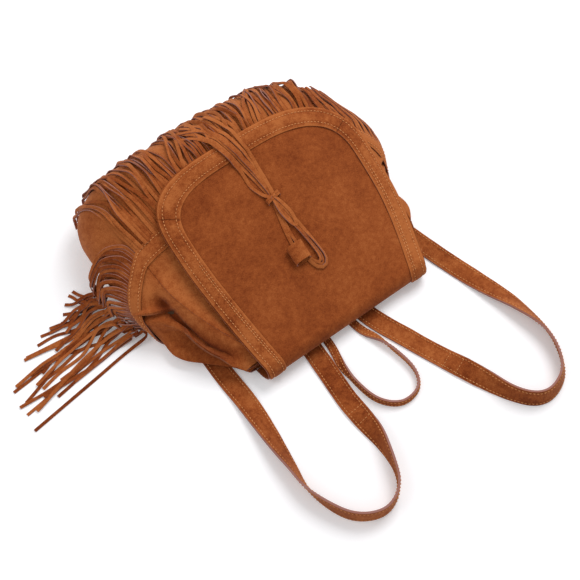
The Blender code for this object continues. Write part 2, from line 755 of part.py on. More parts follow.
def ribbon(collection, name, points, count, width, tilt, flat, turned, colour):
    """A strap along a route on the floor: flat to a share of it, on edge at the far end of its loop."""
    line = route(points, count)
    leave, back = flat
    up, down = turned

    def lean(t):
        return tilt * smooth((t - leave) / (up - leave)) * (1.0 - smooth((t - down) / (back - down)))

    def place(u, v):
        i = round(v * count)
        run = (line[min(i + 1, count)] - line[max(i - 1, 0)]).normalized()
        aside = run.cross(Vector((0.0, 0.0, 1.0)))
        angle = lean(v)
        offset = (u - 0.5) * width
        rise = FLOOR_Z + 0.5 * (width * math.sin(angle) + STRAP_T * math.cos(angle))
        height = rise - offset * math.sin(angle)
        p = line[i] + aside * offset * math.cos(angle)
        return Vector((p.x, p.y, height))

    bm = grid(2, count, place)
    return thicken(link(name, bm, collection, colour), STRAP_T, 0.0)


def straps(collection):
    ribbon(collection, "shoulder_strap_left", LEFT_STRAP, 50, STRAP_W, STRAP_TILT,
           (0.14, 0.66), (0.31, 0.42), SUEDE_LIGHT)
    ribbon(collection, "shoulder_strap_right", RIGHT_STRAP, 50, STRAP_W, STRAP_TILT,
           (0.18, 0.66), (0.33, 0.44), SUEDE_LIGHT)
    ribbon(collection, "handle_loop", HANDLE, 30, HANDLE_W, HANDLE_TILT,
           (0.16, 0.84), (0.30, 0.70), SUEDE_LIGHT)


# Tassel
TAB_CENTRE = Vector((-0.0025, -0.0548, 0.0))
BUNDLE_START = Vector((0.0190, -0.0640, 0.0))
KNOT_PLACE = Vector((0.0070, 0.0035, 0.0))
BUNDLE_EDGE = Vector((0.0010, 0.0610, 0.0))
BUNDLE_END = Vector((-0.0110, 0.1130, 0.0))
TAB_SEAT = -0.0002        # the roll is flattened where it rests on the flap
STRAND_LIFT = 0.0016      # middle of a strand above the flap
KNOT_RISE = 0.0028        # the wrapped strand lifts the bundle
KNOT_RISE_LENGTH = 0.012
KNOT_HALF_W = 0.0102
KNOT_HALF_H = 0.0026
KNOT_T = 0.0008
TAB_FIRST_TURN = math.radians(50)
TAB_TURNS = math.radians(430)
TAB_TIGHTEN = 0.44        # the roll's inner end is smaller by this share
BUNDLE_SPREAD = (0.0036, 0.0035, 0.0050, 0.0095)     # from strand to strand, at its four places
BAND_CLIMB = 0.012        # the strands rise on to the flap's band before its edge
BAND_CLIMB_LENGTH = 0.010
PAST_FLAP_LIFT = 0.0046   # and lie this high on the fringe past it
PAST_FLAP_START = 0.003
PAST_FLAP_LENGTH = 0.020
TASSEL_STEPS = 14


def tassel_tab(collection):
    """The rolled end of the tassel: a flattened spiral, open towards the mouth."""
    def place(u, v):
        y = TAB_CENTRE.y + (v - 0.5) * TAB_LENGTH
        angle = TAB_FIRST_TURN + TAB_TURNS * u
        shrink = 1.0 - TAB_TIGHTEN * u
        x = TAB_CENTRE.x + TAB_HALF_W * shrink * math.cos(angle)
        z = flap_z(TAB_CENTRE.x, y) + TAB_SEAT + TAB_HALF_H * (1.0 + shrink * math.sin(angle))
        return Vector((x, y, z))

    bm = grid(26, 1, place)
    return thicken(link("tassel_tab", bm, collection, SUEDE_LIGHT), TASSEL_T, 0.0)


def strand_z(x, y):
    """Middle of a strand over a point of the plan."""
    band = smooth((y - FLAP_END_Y + FLAP_BAND_W + BAND_CLIMB) / BAND_CLIMB_LENGTH) * (BAND_T + BAND_LIFT)
    knot = KNOT_RISE * math.exp(-((y - KNOT_PLACE.y) / KNOT_RISE_LENGTH) ** 2)
    over_flap = flap_z(x, y) + STRAND_LIFT + band + knot
    over_front = front_z(x, y) + PAST_FLAP_LIFT
    return mix(over_flap, over_front, smooth((y - FLAP_END_Y - PAST_FLAP_START) / PAST_FLAP_LENGTH))


def tassel_strands(collection):
    """Strands that run from beside the tab, through the knot and over the flap's far edge."""
    strips = []
    along_x = Vector((1.0, 0.0, 0.0))
    places = (BUNDLE_START, KNOT_PLACE, BUNDLE_EDGE, BUNDLE_END)
    for i in range(TASSEL_STRIPS):
        k = i - 0.5 * (TASSEL_STRIPS - 1)
        line = route([(p.x + k * w, p.y) for p, w in zip(places, BUNDLE_SPREAD)], TASSEL_STEPS)
        points = [Vector((p.x, p.y, strand_z(p.x, p.y))) for p in line]
        normals = [along_x.cross(points[min(j + 1, TASSEL_STEPS)] - points[max(j - 1, 0)])
                   for j in range(TASSEL_STEPS + 1)]
        strips.append(with_sides(points, normals, TASSEL_STRIP_W))
    return comb(collection, "tassel_strands", strips, SUEDE_LIGHT)


def tassel_knot(collection):
    """The strand that is wrapped round the bundle."""
    run = Vector((BUNDLE_EDGE.x - BUNDLE_START.x, BUNDLE_EDGE.y - BUNDLE_START.y, 0.0)).normalized()
    aside = Vector((run.y, -run.x, 0.0))
    near, far = (strand_z(KNOT_PLACE.x, KNOT_PLACE.y + side * KNOT_W) for side in (-0.5, 0.5))

    def place(u, v):
        angle = 2.0 * math.pi * u
        c, s = math.cos(angle), math.sin(angle)
        p = KNOT_PLACE + run * ((v - 0.5) * KNOT_W)
        p = p + aside * (KNOT_HALF_W * math.copysign(abs(c) ** 0.5, c))
        return Vector((p.x, p.y, mix(near, far, v) + KNOT_HALF_H * math.copysign(abs(s) ** 0.5, s)))

    bm = grid(16, 2, place)
    for face in bm.faces:
        face.normal_flip()
    return thicken(link("tassel_knot", bm, collection, SUEDE_LIGHT), KNOT_T, 0.0)


def main():
    for obj in list(bpy.data.objects):
        bpy.data.objects.remove(obj)
    collection = bpy.data.collections.new("fringed_suede_bag")
    bpy.context.scene.collection.children.link(collection)
    front_panel(collection)
    gusset(collection)
    back_panel(collection)
    lining(collection)
    flap_panel(collection)
    flap_lining(collection)
    flap_band(collection, "flap_band_left", 0.0, BAND_SEAM_LEFT - 0.001, 18)
    flap_band(collection, "flap_band_front", BAND_SEAM_LEFT, BAND_SEAM_RIGHT, 22)
    flap_band(collection, "flap_band_right", BAND_SEAM_RIGHT + 0.001, 1.0, 18)
    yoke_band(collection)
    fringes(collection)
    straps(collection)
    tassel_tab(collection)
    tassel_strands(collection)
    tassel_knot(collection)


main()
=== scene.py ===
"""Fringed suede bag: the suede, stitching and fringe of a small flap backpack that lies on its back."""
import math
import random

import bmesh
import bpy
import numpy as np
from bpy.props import FloatProperty, FloatVectorProperty, IntProperty, PointerProperty
from mathutils import Matrix, Vector, noise


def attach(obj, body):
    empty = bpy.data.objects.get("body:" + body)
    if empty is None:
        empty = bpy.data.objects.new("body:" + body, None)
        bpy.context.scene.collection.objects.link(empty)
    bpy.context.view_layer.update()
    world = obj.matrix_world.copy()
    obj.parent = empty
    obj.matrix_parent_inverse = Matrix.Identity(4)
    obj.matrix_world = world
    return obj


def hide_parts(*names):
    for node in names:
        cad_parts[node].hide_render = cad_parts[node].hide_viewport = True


bl_info = {
    "name": "Fringed Suede Bag",
    "version": (1, 0, 0),
    "blender": (4, 5, 0),
    "location": "3D View > Sidebar > Suede Bag",
    "description": "Builds the suede panels, fringe, straps and stitching of a small flap backpack",
    "category": "Add Mesh",
}

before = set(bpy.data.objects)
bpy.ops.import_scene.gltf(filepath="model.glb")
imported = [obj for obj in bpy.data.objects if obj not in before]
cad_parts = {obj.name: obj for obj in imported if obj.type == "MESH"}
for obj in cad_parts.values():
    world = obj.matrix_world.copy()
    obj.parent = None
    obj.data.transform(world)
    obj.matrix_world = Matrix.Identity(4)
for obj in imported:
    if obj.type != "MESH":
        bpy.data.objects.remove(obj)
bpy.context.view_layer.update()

# The bag's cut, the same values as its solids
SUEDE_T = 0.0014
BAND_T = 0.0012
LINING_T = 0.0006
FRINGE_T = 0.0010
STRAP_T = 0.0024
FLOOR_Z = -0.0027
FLOOR_SIZE = 16.0
FLOOR_GLOW = 0.17

HINGE_Y = -0.130
MOUTH_Y = -0.112
SIDE_END_Y = 0.030
BOTTOM_Y = 0.150
MOUTH_HALF = 0.106
BODY_HALF = 0.163
TAPER_LENGTH = 0.150
TAPER_POWER = 1.7
LEAN_X = 0.019
MOUTH_MID_X = 0.006
STRAIGHT_SHARE = 0.55
SIDE_POWER = 3.0
BOTTOM_POWER = 4.0
CORNER_POWER = 6.5
CORNER_START = 0.25
CORNER_FULL = 0.75
DOME_POWER = 0.6
RIGHT_BELLY = 0.010
BELLY_START_Y = -0.020
BELLY_FULL_Y = 0.015
BELLY_FADE_Y = 0.035
BELLY_END_Y = 0.085
LOW_BULGE = 0.015
LOW_BULGE_Y = -0.058
LOW_BULGE_LENGTH = 0.026
MOUTH_RIM_Z = 0.010
BODY_RIM_Z = 0.038
RIM_RISE = 0.160
MOUTH_TOP_Z = 0.0155
FRONT_SLOPE = 0.445
FRONT_TOP_Z = 0.1125
TOP_BLEND = 0.012
FRONT_SEAM = 0.78
BACK_SEAM = 0.88
PLEAT_START_Y = -0.085
PLEAT_END_Y = -0.010

FLAP_HALF = 0.1045
FLAP_FLARE = 0.0195
FLAP_FLARE_LENGTH = 0.130
FLAP_MID_X = 0.0045
FLAP_SHIFT = 0.0070
FLAP_SHIFT_LENGTH = 0.100
FLAP_CORNER_Y = 0.0
FLAP_END_Y = 0.0755
FLAP_POWER_LEFT = 4.0
FLAP_POWER_RIGHT = 2.9
FLAP_LIFT = 0.0064
FLAP_SPREAD = 1.12
FOLD_RADIUS = 0.0135
FOLD_Y = -0.119
FOLD_TURN = math.radians(156)
FOLD_END_Y = FOLD_Y + FOLD_RADIUS * math.cos(1.5 * math.pi - FOLD_TURN)
FOLD_END_Z = FOLD_RADIUS + FOLD_RADIUS * math.sin(1.5 * math.pi - FOLD_TURN)
FOLD_SHARE = (0.04, 0.42)
FLAP_STRAIGHT = 0.70
BAND_W = 0.020
BAND_SEAM_LEFT = 0.367
BAND_SEAM_RIGHT = 0.633
BAND_START = 0.16
BAND_INSET = 0.0010
FLAP_TURN = math.radians(80)
FLAP_GAP = 0.0006
FOLD_BLEND = 0.02
FACING_INSET = 0.003
FACING_DROP = 0.0019
FACING_SHARE = (0.31, 0.94)

YOKE_Y = 0.034
YOKE_W = 0.019
YOKE_SWEEP = 0.062
YOKE_EASE = 0.06
YOKE_SWEEP_POWER = 1.6
FRONT_LEFT = -1.02
FRONT_RIGHT = 0.835
RIGHT_END_S = 1.06
SIDE_REACH = 2.66
YOKE_REACH = 2.72

# The lining pouch inside the body
POUCH_MOUTH_GAP = 0.002
POUCH_BOTTOM_GAP = 0.014
POUCH_FRONT_GAP = 0.0040
POUCH_BACK_GAP = 0.0026
POUCH_SHARES = (0.90, 0.60)
BACK_SHARE = 0.992

# Where the rows of stitches run, as shares of a band's width
FLAP_ROWS = (0.22, 0.80)
YOKE_ROWS = (0.17, 0.83)
STITCH_DIP = 0.00045
THREAD_LIFT = 0.00005

# The body suede's folds, and the painted shade along its seams, in the hollow under its gathered side and low
# on its left side
SIDE_START = 1.004
SIDE_END = 2.996
RIDGE_HEIGHT = 0.0055
HOLLOW_DEPTH = 0.0100
SECOND_RIDGE = 0.0045
SECOND_HOLLOW = 0.0060
UPRIGHT_FOLD = 0.0030
RIGHT_FOLDS = 0.5
SEAM_SHADE = 0.35
HOLLOW_SHADE = 0.95
LOW_SIDE_SHADE = 0.34

# Fringe strips: how far their middle stands up, how far their roots go under the yoke band,
# and their gap to the floor
CUP = 0.10
ROOT = 0.003
FLOOR_GAP = 0.0015
UP = Vector((0.0, 0.0, 1.0))

# The photograph's camera, and its picture's side in pixels
EYE = Vector((-0.3812, -0.5406, 1.1365))
EYE_BACK = Vector((-0.2825, -0.3749, 0.8829))
EYE_RIGHT = Vector((0.7986, -0.6018, 0.0))
EYE_UP = Vector((0.5313, 0.7051, 0.4694))
LENS = 74.5
SENSOR = 36.0
PICTURE = 580.0


def srgb(red, green, blue):
    """A colour read as 0 to 255, as linear light."""
    return tuple((c / 255.0) ** 2.2 for c in (red, green, blue))


def metres(name, description, default, low, high):
    """A setting in metres."""
    return FloatProperty(name=name, description=description, default=default, min=low, max=high,
                         subtype="DISTANCE", unit="LENGTH")


def paint(name, description, red, green, blue):
    """A colour setting, read as 0 to 255."""
    return FloatVectorProperty(name=name, description=description, default=srgb(red, green, blue),
                               subtype="COLOR", size=3, min=0.0, max=1.0)


class SuedeBagSettings(bpy.types.PropertyGroup):
    """Sizes and colours of the bag's finish."""
    strip_width: metres("Strip Width", "Width of a fringe strip", 0.0036, 0.002, 0.008)
    strip_pitch: metres("Strip Pitch", "Distance between the roots of two fringe strips", 0.0033, 0.002, 0.01)
    strip_length: metres("Strip Length", "Length of the fringe below the yoke band", 0.152, 0.05, 0.25)
    stitch_pitch: metres("Stitch Pitch", "Distance from one stitch to the next", 0.0038, 0.002, 0.006)
    thread: metres("Thread", "Thickness of the sewing thread", 0.0010, 0.0003, 0.0015)
    crumple: metres("Crumple", "Height of the soft dents in the body suede", 0.0012, 0.0, 0.004)
    seed: IntProperty(name="Seed", description="Start of the fringe's wandering", default=7, min=0, max=999)
    suede_light: paint("Suede, Brushed Up", "Colour of the suede where the nap stands up", 172, 99, 54)
    suede_mid: paint("Suede", "Colour of the suede", 146, 76, 38)
    suede_dark: paint("Suede, Brushed Down", "Colour of the suede where the nap lies flat", 112, 52, 24)
    raw_edge: paint("Raw Edge", "Colour of the cut edges", 158, 118, 112)
    thread_colour: paint("Thread Colour", "Colour of the sewing thread", 224, 154, 98)
    lining_colour: paint("Lining", "Colour of the cotton lining", 92, 66, 46)
    key_light: FloatProperty(
        name="Key Light", description="Power of the large softbox", default=22.0, min=0.0, max=200.0,
        subtype="POWER", unit="POWER")
    fill_light: FloatProperty(
        name="Fill Light", description="Strength of the light from all round", default=0.50, min=0.0, max=3.0)


def settings():
    return bpy.context.scene.suede_bag


# Shape of the filled bag
def clamp(t):
    return min(max(t, 0.0), 1.0)


def smooth(t):
    t = clamp(t)
    return t * t * (3.0 - 2.0 * t)


def ramp(t, start, end):
    """0 before the start and 1 past the end, smooth between them."""
    return smooth((t - start) / (end - start))


def hill(t, top, width):
    """1 at the top of a smooth bump, falling to 0 on both sides."""
    return math.exp(-((t - top) / width) ** 2)


def from_end(t):
    """How far a share is from the nearer of 0 and 1."""
    return min(t, 1.0 - t)


def mix(a, b, t):
    return a + (b - a) * t


def grow(y):
    t = clamp((y - HINGE_Y) / TAPER_LENGTH)
    return 1.0 - (1.0 - t) ** TAPER_POWER


def belly(y):
    rise = ramp(y, BELLY_START_Y, BELLY_FULL_Y)
    return RIGHT_BELLY * rise * (1.0 - ramp(y, BELLY_FADE_Y, BELLY_END_Y))


def half_width(y):
    return mix(MOUTH_HALF, BODY_HALF, grow(y)) + 0.5 * belly(y)


def mid_x(y):
    return MOUTH_MID_X - LEAN_X * grow(y) + 0.5 * belly(y)


def rim_z(y):
    return mix(MOUTH_RIM_Z, BODY_RIM_Z, clamp((y - HINGE_Y) / RIM_RISE))


def spine_z(y):
    slope = MOUTH_TOP_Z + FRONT_SLOPE * (y - HINGE_Y)
    h = clamp(0.5 + 0.5 * (FRONT_TOP_Z - slope) / TOP_BLEND)
    return mix(FRONT_TOP_Z, slope, h) - TOP_BLEND * h * (1.0 - h)


def along(y):
    return max(0.0, (y - SIDE_END_Y) / (BOTTOM_Y - SIDE_END_Y))


def bottom_power(across):
    return mix(BOTTOM_POWER, CORNER_POWER, smooth((-across - CORNER_START) / (CORNER_FULL - CORNER_START)))


def inside_share(across, down):
    """1 in the middle of the filled body, 0 on its outline."""
    return 1.0 - abs(across) ** SIDE_POWER - down ** bottom_power(across)


def front_z(x, y, spread=1.0):
    """Height of the front panel over a point of the plan."""
    inside = inside_share((x - mid_x(y)) / (half_width(y) * spread), along(y))
    if inside <= 0.0:
        return rim_z(y)
    return rim_z(y) + (spine_z(y) - rim_z(y)) * inside ** DOME_POWER


def reach(side, y):
    return max(0.0, 1.0 - along(y) ** bottom_power(side)) ** (1.0 / SIDE_POWER)


def outline(w):
    side = -1.0 if w < 0.5 else 1.0
    t = 1.0 - abs(2.0 * w - 1.0)
    if t < STRAIGHT_SHARE:
        return side, 0.0, mix(MOUTH_Y, SIDE_END_Y, t / STRAIGHT_SHARE)
    phi = 0.5 * math.pi * (t - STRAIGHT_SHARE) / (1.0 - STRAIGHT_SHARE)
    across = side * math.cos(phi) ** (2.0 / SIDE_POWER)
    return across, math.sin(phi) ** (2.0 / bottom_power(across)), SIDE_END_Y


def low_bulge(y, e):
    low = math.sin(math.pi * clamp(e - 2.0))
    return LOW_BULGE * low * hill(y, LOW_BULGE_Y, LOW_BULGE_LENGTH)


def section_share(e):
    """Share of the half width at e: 1 front seam, 2 widest line, 3 back seam."""
    if e <= 1.0:
        return FRONT_SEAM * e
    if e <= 2.0:
        return mix(FRONT_SEAM, 1.0, math.sin(0.5 * math.pi * (e - 1.0)))
    return 1.0 - (1.0 - BACK_SEAM) * (1.0 - math.cos(0.5 * math.pi * (e - 2.0)))


def ring_point(w, e):
    """Body skin at point w of the U-shaped outline."""
    across, down, y_side = outline(w)
    share = section_share(e)
    y = y_side + (BOTTOM_Y - SIDE_END_Y) * down * share
    x = mid_x(y) + half_width(y) * across * share
    inside = max(0.0, inside_share(across * share, down * share))
    if e <= 2.0:
        z = rim_z(y) + (spine_z(y) - rim_z(y)) * inside ** DOME_POWER
    else:
        z = rim_z(y) * (1.0 - math.sin(0.5 * math.pi * (e - 2.0)))
    return Vector((x, y, z))


BELLOWS = (
    (1.00, 0.78, 1.00),
    (1.15, 0.93, 0.90),
    (1.30, 1.00, 0.74),
    (1.50, 0.90, 0.62),
    (1.75, 0.71, 0.58),
    (2.00, 0.70, 0.48),
    (2.25, 0.88, 0.42),
    (2.45, 0.96, 0.30),
    (2.70, 0.93, 0.10),
    (3.00, 0.88, 0.00),
)


def side_point(w, e):
    """Skin of the sides and bottom, folded in like a bellows towards the mouth."""
    p = ring_point(w, e)
    across, _, y_side = outline(w)
    swell = Vector((across * low_bulge(p.y, e), 0.0, 0.0))
    fold = 1.0 - ramp(y_side, PLEAT_START_Y, PLEAT_END_Y)
    if fold <= 0.0:
        return p + swell
    for (e0, s0, h0), (e1, s1, h1) in zip(BELLOWS, BELLOWS[1:]):
        if e <= e1 + 1e-9:
            t = (e - e0) / (e1 - e0)
            share, height = mix(s0, s1, t), mix(h0, h1, t)
            break
    seam = ring_point(w, 1.0).z
    folded = Vector((mid_x(p.y) + half_width(p.y) * across * share, p.y, seam * height))
    return p.lerp(folded, fold) + swell


def cavity(w, e):
    """1 in the hollow under the gathered side's ridge, 0 away from it."""
    low = smooth((w - 0.01) / 0.04) * (1.0 - smooth((w - 0.185) / 0.035))
    past = e - 1.17 - 0.3 * w
    return low * hill(past, 0.0, 0.08 if past < 0.0 else 0.17)


def pleat(w, e):
    """How far the gathered side stands out or in, along its own normal."""
    low = smooth((w - 0.01) / 0.04) * (1.0 - smooth((w - 0.19) / 0.05))
    ridge = RIDGE_HEIGHT * hill(e, 0.99, 0.09)
    far = smooth((w - 0.160) / 0.015) * (1.0 - smooth((w - 0.215) / 0.015))
    slant = e - 1.05 - 15.5 * (w - 0.165)
    second = SECOND_RIDGE * hill(slant, 0.0, 0.09) - SECOND_HOLLOW * hill(slant, 0.22, 0.10)
    upright = UPRIGHT_FOLD * hill(w - 0.085, 0.010 * (e - 1.5), 0.007) * smooth((e - 1.4) / 0.3)
    upright *= 1.0 - smooth((e - 2.1) / 0.3)
    return low * ridge - HOLLOW_DEPTH * cavity(w, e) + far * second + upright


def skin(s, y):
    """Body skin at section position s, negative on the left, and y."""
    side = -1 if s < 0.0 else 1
    e = abs(s)
    x = mid_x(y) + side * (half_width(y) * reach(side, y) * section_share(e) + low_bulge(y, e))
    if e <= 2.0:
        return Vector((x, y, front_z(x, y)))
    return Vector((x, y, rim_z(y) * (1.0 - math.sin(0.5 * math.pi * (e - 2.0)))))


def lifted(place, u, v, height, du=0.004, dv=0.002):
    """Point above a surface, along its normal."""
    a = place(u + du, v) - place(u - du, v)
    b = place(u, v + dv) - place(u, v - dv)
    return place(u, v) + a.cross(b).normalized() * height


# Flap
def flap_half(y):
    t = clamp((y - HINGE_Y) / FLAP_FLARE_LENGTH)
    return FLAP_HALF + FLAP_FLARE * math.sin(0.5 * math.pi * t)


def flap_mid(y):
    t = clamp((y - HINGE_Y) / FLAP_SHIFT_LENGTH)
    return FLAP_MID_X + FLAP_SHIFT * math.sin(0.5 * math.pi * t)


def flap_z(x, y):
    over = front_z(x, y, FLAP_SPREAD) + FLAP_LIFT
    step = FOLD_END_Z - front_z(x, FOLD_END_Y, FLAP_SPREAD) - FLAP_LIFT
    return over + step * math.exp(-max(0.0, y - FOLD_END_Y) / FOLD_BLEND)


def flap_at(x, q):
    flat, fold = FOLD_SHARE
    if q < flat:
        return Vector((x, mix(MOUTH_Y - FLAP_GAP, FOLD_Y, q / flat), 0.0))
    if q < fold:
        angle = 1.5 * math.pi - FOLD_TURN * (q - flat) / (fold - flat)
        return Vector((x, FOLD_Y + FOLD_RADIUS * math.cos(angle), FOLD_RADIUS * (1.0 + math.sin(angle))))
    y = mix(FOLD_END_Y, FLAP_CORNER_Y, (q - fold) / (1.0 - fold))
    return Vector((x, y, flap_z(x, y)))


def flap_edge(side, t, inset, turn):
    """Point of the flap's outer face on a line inset from its edge."""
    power = FLAP_POWER_LEFT if side < 0 else FLAP_POWER_RIGHT
    if t < FLAP_STRAIGHT:
        q = t / FLAP_STRAIGHT
        y = flap_at(0.0, q).y
        return flap_at(flap_mid(y) + side * (flap_half(y) - inset), q)
    phi = turn * (t - FLAP_STRAIGHT) / (1.0 - FLAP_STRAIGHT)
    y = FLAP_CORNER_Y + (FLAP_END_Y - inset - FLAP_CORNER_Y) * math.sin(phi) ** (2.0 / power)
    x = flap_mid(y) + side * (flap_half(y) - inset) * math.cos(phi) ** (2.0 / power)
    return Vector((x, y, flap_z(x, y)))


def flap_skin(u, t, inset=0.0):
    left, right = flap_edge(-1, t, inset, FLAP_TURN), flap_edge(1, t, inset, FLAP_TURN)
    x, y = mix(left.x, right.x, u), mix(left.y, right.y, u)
    if t < FLAP_STRAIGHT:
        return flap_at(x, t / FLAP_STRAIGHT)
    return Vector((x, y, flap_z(x, y)))


def band_skin(m, n):
    """Flap skin under its band: m runs round the U, n from the outer edge inwards."""
    side = -1 if m < 0.5 else 1
    t = mix(BAND_START, 1.0, 1.0 - abs(2.0 * m - 1.0))
    return flap_edge(side, t, BAND_INSET + n * BAND_W, 0.5 * math.pi)


def band_point(m, n, height):
    a = band_skin(m, n)
    forward = band_skin(min(m + 0.002, 1.0), n) - band_skin(max(m - 0.002, 0.0), n)
    inward = band_skin(m, 1.0) - band_skin(m, 0.0)
    return a + inward.cross(forward).normalized() * height


# Yoke band
def yoke_y(s):
    past = 0.5 * (abs(s) - 1.0)
    t = min(0.5 * (past + math.hypot(past, YOKE_EASE)), 1.0)
    return YOKE_Y - YOKE_SWEEP * (1.0 - (1.0 - t) ** YOKE_SWEEP_POWER)


def yoke_point(s, v, height):
    return lifted(skin, s, yoke_y(s) + (v - 0.5) * YOKE_W, height)


def skin_normal(s, y):
    return (lifted(skin, s, y, 1.0, 0.25) - skin(s, y)).normalized()


def seen_at(across, down, height):
    """The point at a height that the camera sees at a pixel of its picture."""
    pixels = LENS / SENSOR * PICTURE
    ray = (EYE_RIGHT * ((across - 0.5 * PICTURE) / pixels) - EYE_UP * ((down - 0.5 * PICTURE) / pixels)
           - EYE_BACK)
    return EYE + ray * ((height - EYE.z) / ray.z)


def soft_noise(p, scale, offset=0.0):
    return noise.noise(Vector((p[0] * scale + offset, p[1] * scale - offset, p[2] * scale + 2.0 * offset)))


# Materials
class Wire:
    """A node's output, with arithmetic that adds Math nodes."""

    def __init__(self, finish, socket):
        self.finish = finish
        self.socket = socket

    def _math(self, operation, first, second):
        return self.finish.node("Math", {"operation": operation}, {0: first, 1: second})

    def __add__(self, other):
        return self._math("ADD", self, other)

    def __radd__(self, other):
        return self._math("ADD", other, self)

    def __sub__(self, other):
        return self._math("SUBTRACT", self, other)

    def __rsub__(self, other):
        return self._math("SUBTRACT", other, self)

    def __mul__(self, other):
        return self._math("MULTIPLY", self, other)

    def __rmul__(self, other):
        return self._math("MULTIPLY", other, self)


class Finish:
    """One material and the nodes that make it."""

    def __init__(self, name):
        self.material = bpy.data.materials.new(name)
        self.material.use_nodes = True
        self.nodes = self.material.node_tree.nodes
        self.links = self.material.node_tree.links
        self.shader = self.nodes["Principled BSDF"]

    def feed(self, socket, value):
        if isinstance(value, Wire):
            self.links.new(value.socket, socket)
        elif isinstance(value, tuple) and socket.type == "RGBA":
            socket.default_value = (*value[:3], 1.0)
        else:
            socket.default_value = value

    def node(self, kind, choices, sockets, output=0):
        """Add a node, make its choices and feed its sockets with values or wires."""
        made = self.nodes.new("ShaderNode" + kind)
        for key, value in choices.items():
            if key == "stops":
                elements = made.color_ramp.elements
                while len(elements) < len(value):
                    elements.new(0.5)
                for element, (place, colour) in zip(elements, value):
                    element.position = place
                    element.color = (*colour, 1.0)
            else:
                setattr(made, key, value)
        for key, value in sockets.items():
            self.feed(made.inputs[key], value)
        return Wire(self, made.outputs[output])

    def blend(self, share, first, second):
        return self.node("Mix", {"data_type": "RGBA"}, {0: share, 6: first, 7: second}, 2)

    def grain(self, place, scale, detail=2.0, rough=0.5, twist=0.0):
        """Noise about zero."""
        sockets = {"Vector": place, "Scale": scale, "Detail": detail, "Roughness": rough, "Distortion": twist}
        return self.node("TexNoise", {}, sockets, "Fac") - 0.5

    def surface(self, **sockets):
        for key, value in sockets.items():
            self.feed(self.shader.inputs[key.replace("_", " ")], value)


def suede(name, shade, patches, nap):
    """Brushed suede: cloudy where the nap was stroked, with fine grain over it."""
    own = settings()
    f = Finish(name)
    place = f.node("TexCoord", {}, {}, "Object")
    tone = f.node("Attribute", {"attribute_name": "tone"}, {}, "Fac")
    clouds = f.grain(place, 12.0, 3.0, 0.55, 0.3)
    strokes = f.grain(place, 48.0, 4.0, 0.6, 0.8)
    specks = f.grain(place, 210.0, 3.0, 0.6)
    fuzz = f.grain(place, 900.0, 2.0, 0.6)
    # The shade argument and the tone layer set each piece's lightness: partly its own tone, partly painted
    # light and shade
    amount = (0.5 + shade + tone + clouds * (1.5 * patches) + strokes * (1.1 * patches)
              + specks * nap + fuzz * (1.1 * nap))
    colour = f.node("ValToRGB", {"stops": [
        (0.0, tuple(own.suede_dark)), (0.5, tuple(own.suede_mid)), (1.0, tuple(own.suede_light))]},
        {"Fac": amount})
    height = strokes * 0.5 + specks * 0.7 + fuzz * 0.5
    bump = f.node("Bump", {}, {"Height": height, "Strength": 0.65, "Distance": 0.0008}, "Normal")
    f.surface(Base_Color=colour, Roughness=0.95, Normal=bump)
    f.surface(Specular_IOR_Level=0.12, Sheen_Weight=0.18, Sheen_Roughness=0.45)
    f.surface(Sheen_Tint=(0.95, 0.62, 0.42))
    return f.material


def raw_edge():
    """The cut edge, where the paler fibres show."""
    own = settings()
    f = Finish("raw_edge")
    place = f.node("TexCoord", {}, {}, "Object")
    fibres = f.grain(place, 420.0, 3.0, 0.65)
    patches = f.grain(place, 60.0, 2.0)
    pale = tuple(own.raw_edge)
    brown = tuple(0.5 * a + 0.5 * b for a, b in zip(own.raw_edge, own.suede_mid))
    colour = f.blend(0.5 + patches * 1.4 + fibres * 0.8, brown, pale)
    bump = f.node("Bump", {}, {"Height": fibres, "Strength": 0.6, "Distance": 0.0004}, "Normal")
    f.surface(Base_Color=colour, Roughness=0.95, Normal=bump, Specular_IOR_Level=0.1)
    return f.material


def thread():
    """Twisted sewing thread."""
    own = settings()
    f = Finish("sewing_thread")
    place = f.node("TexCoord", {}, {}, "Object")
    twist = f.grain(place, 1600.0, 1.0)
    worn = f.grain(place, 40.0, 2.0)
    dull = tuple(0.55 * a + 0.45 * b for a, b in zip(own.thread_colour, own.suede_mid))
    colour = f.blend(0.55 + worn * 1.8 + twist * 0.4, dull, tuple(own.thread_colour))
    bump = f.node("Bump", {}, {"Height": twist, "Strength": 0.4, "Distance": 0.0002}, "Normal")
    f.surface(Base_Color=colour, Roughness=0.8, Normal=bump, Specular_IOR_Level=0.15)
    return f.material


def cotton():
    """Plain-woven cotton."""
    own = settings()
    f = Finish("woven_cotton")
    place = f.node("TexCoord", {}, {}, "Object")
    x, y, z = (f.node("SeparateXYZ", {}, {"Vector": place}, axis) for axis in ("X", "Y", "Z"))
    turns = 2.0 * math.pi / 0.0012
    weave = (f.node("Math", {"operation": "SINE"}, {0: (x + z) * turns})
             * f.node("Math", {"operation": "SINE"}, {0: (y + z) * turns}))
    worn = f.grain(place, 30.0, 3.0)
    dark = tuple(0.7 * c for c in own.lining_colour)
    colour = f.blend(0.5 + weave * 0.25 + worn * 1.2, dark, tuple(own.lining_colour))
    bump = f.node("Bump", {}, {"Height": weave, "Strength": 0.5, "Distance": 0.0002}, "Normal")
    f.surface(Base_Color=colour, Roughness=0.9, Normal=bump)
    return f.material


# Shade of each copy of the suede, partly painted light, as the body's is raised for its lit left side;
# strength of the cloudy patches, strength of the grain
NAPS = {"body_nap": (0.36, 0.75, 1.0), "flap_nap": (-0.08, 0.55, 0.8), "band_nap": (0.18, 1.2, 1.2),
        "fringe_nap": (0.16, 0.8, 1.0), "strap_nap": (0.06, 1.1, 1.1)}


def finish_named(name):
    """The material of that name, made when it is first asked for."""
    found = bpy.data.materials.get(name)
    if found is not None:
        return found
    if name in NAPS:
        return suede(name, *NAPS[name])
    return {"raw_edge": raw_edge, "sewing_thread": thread, "woven_cotton": cotton}[name]()


# Making pieces
def only(obj):
    bpy.ops.object.select_all(action="DESELECT")
    obj.select_set(True)
    bpy.context.view_layer.objects.active = obj


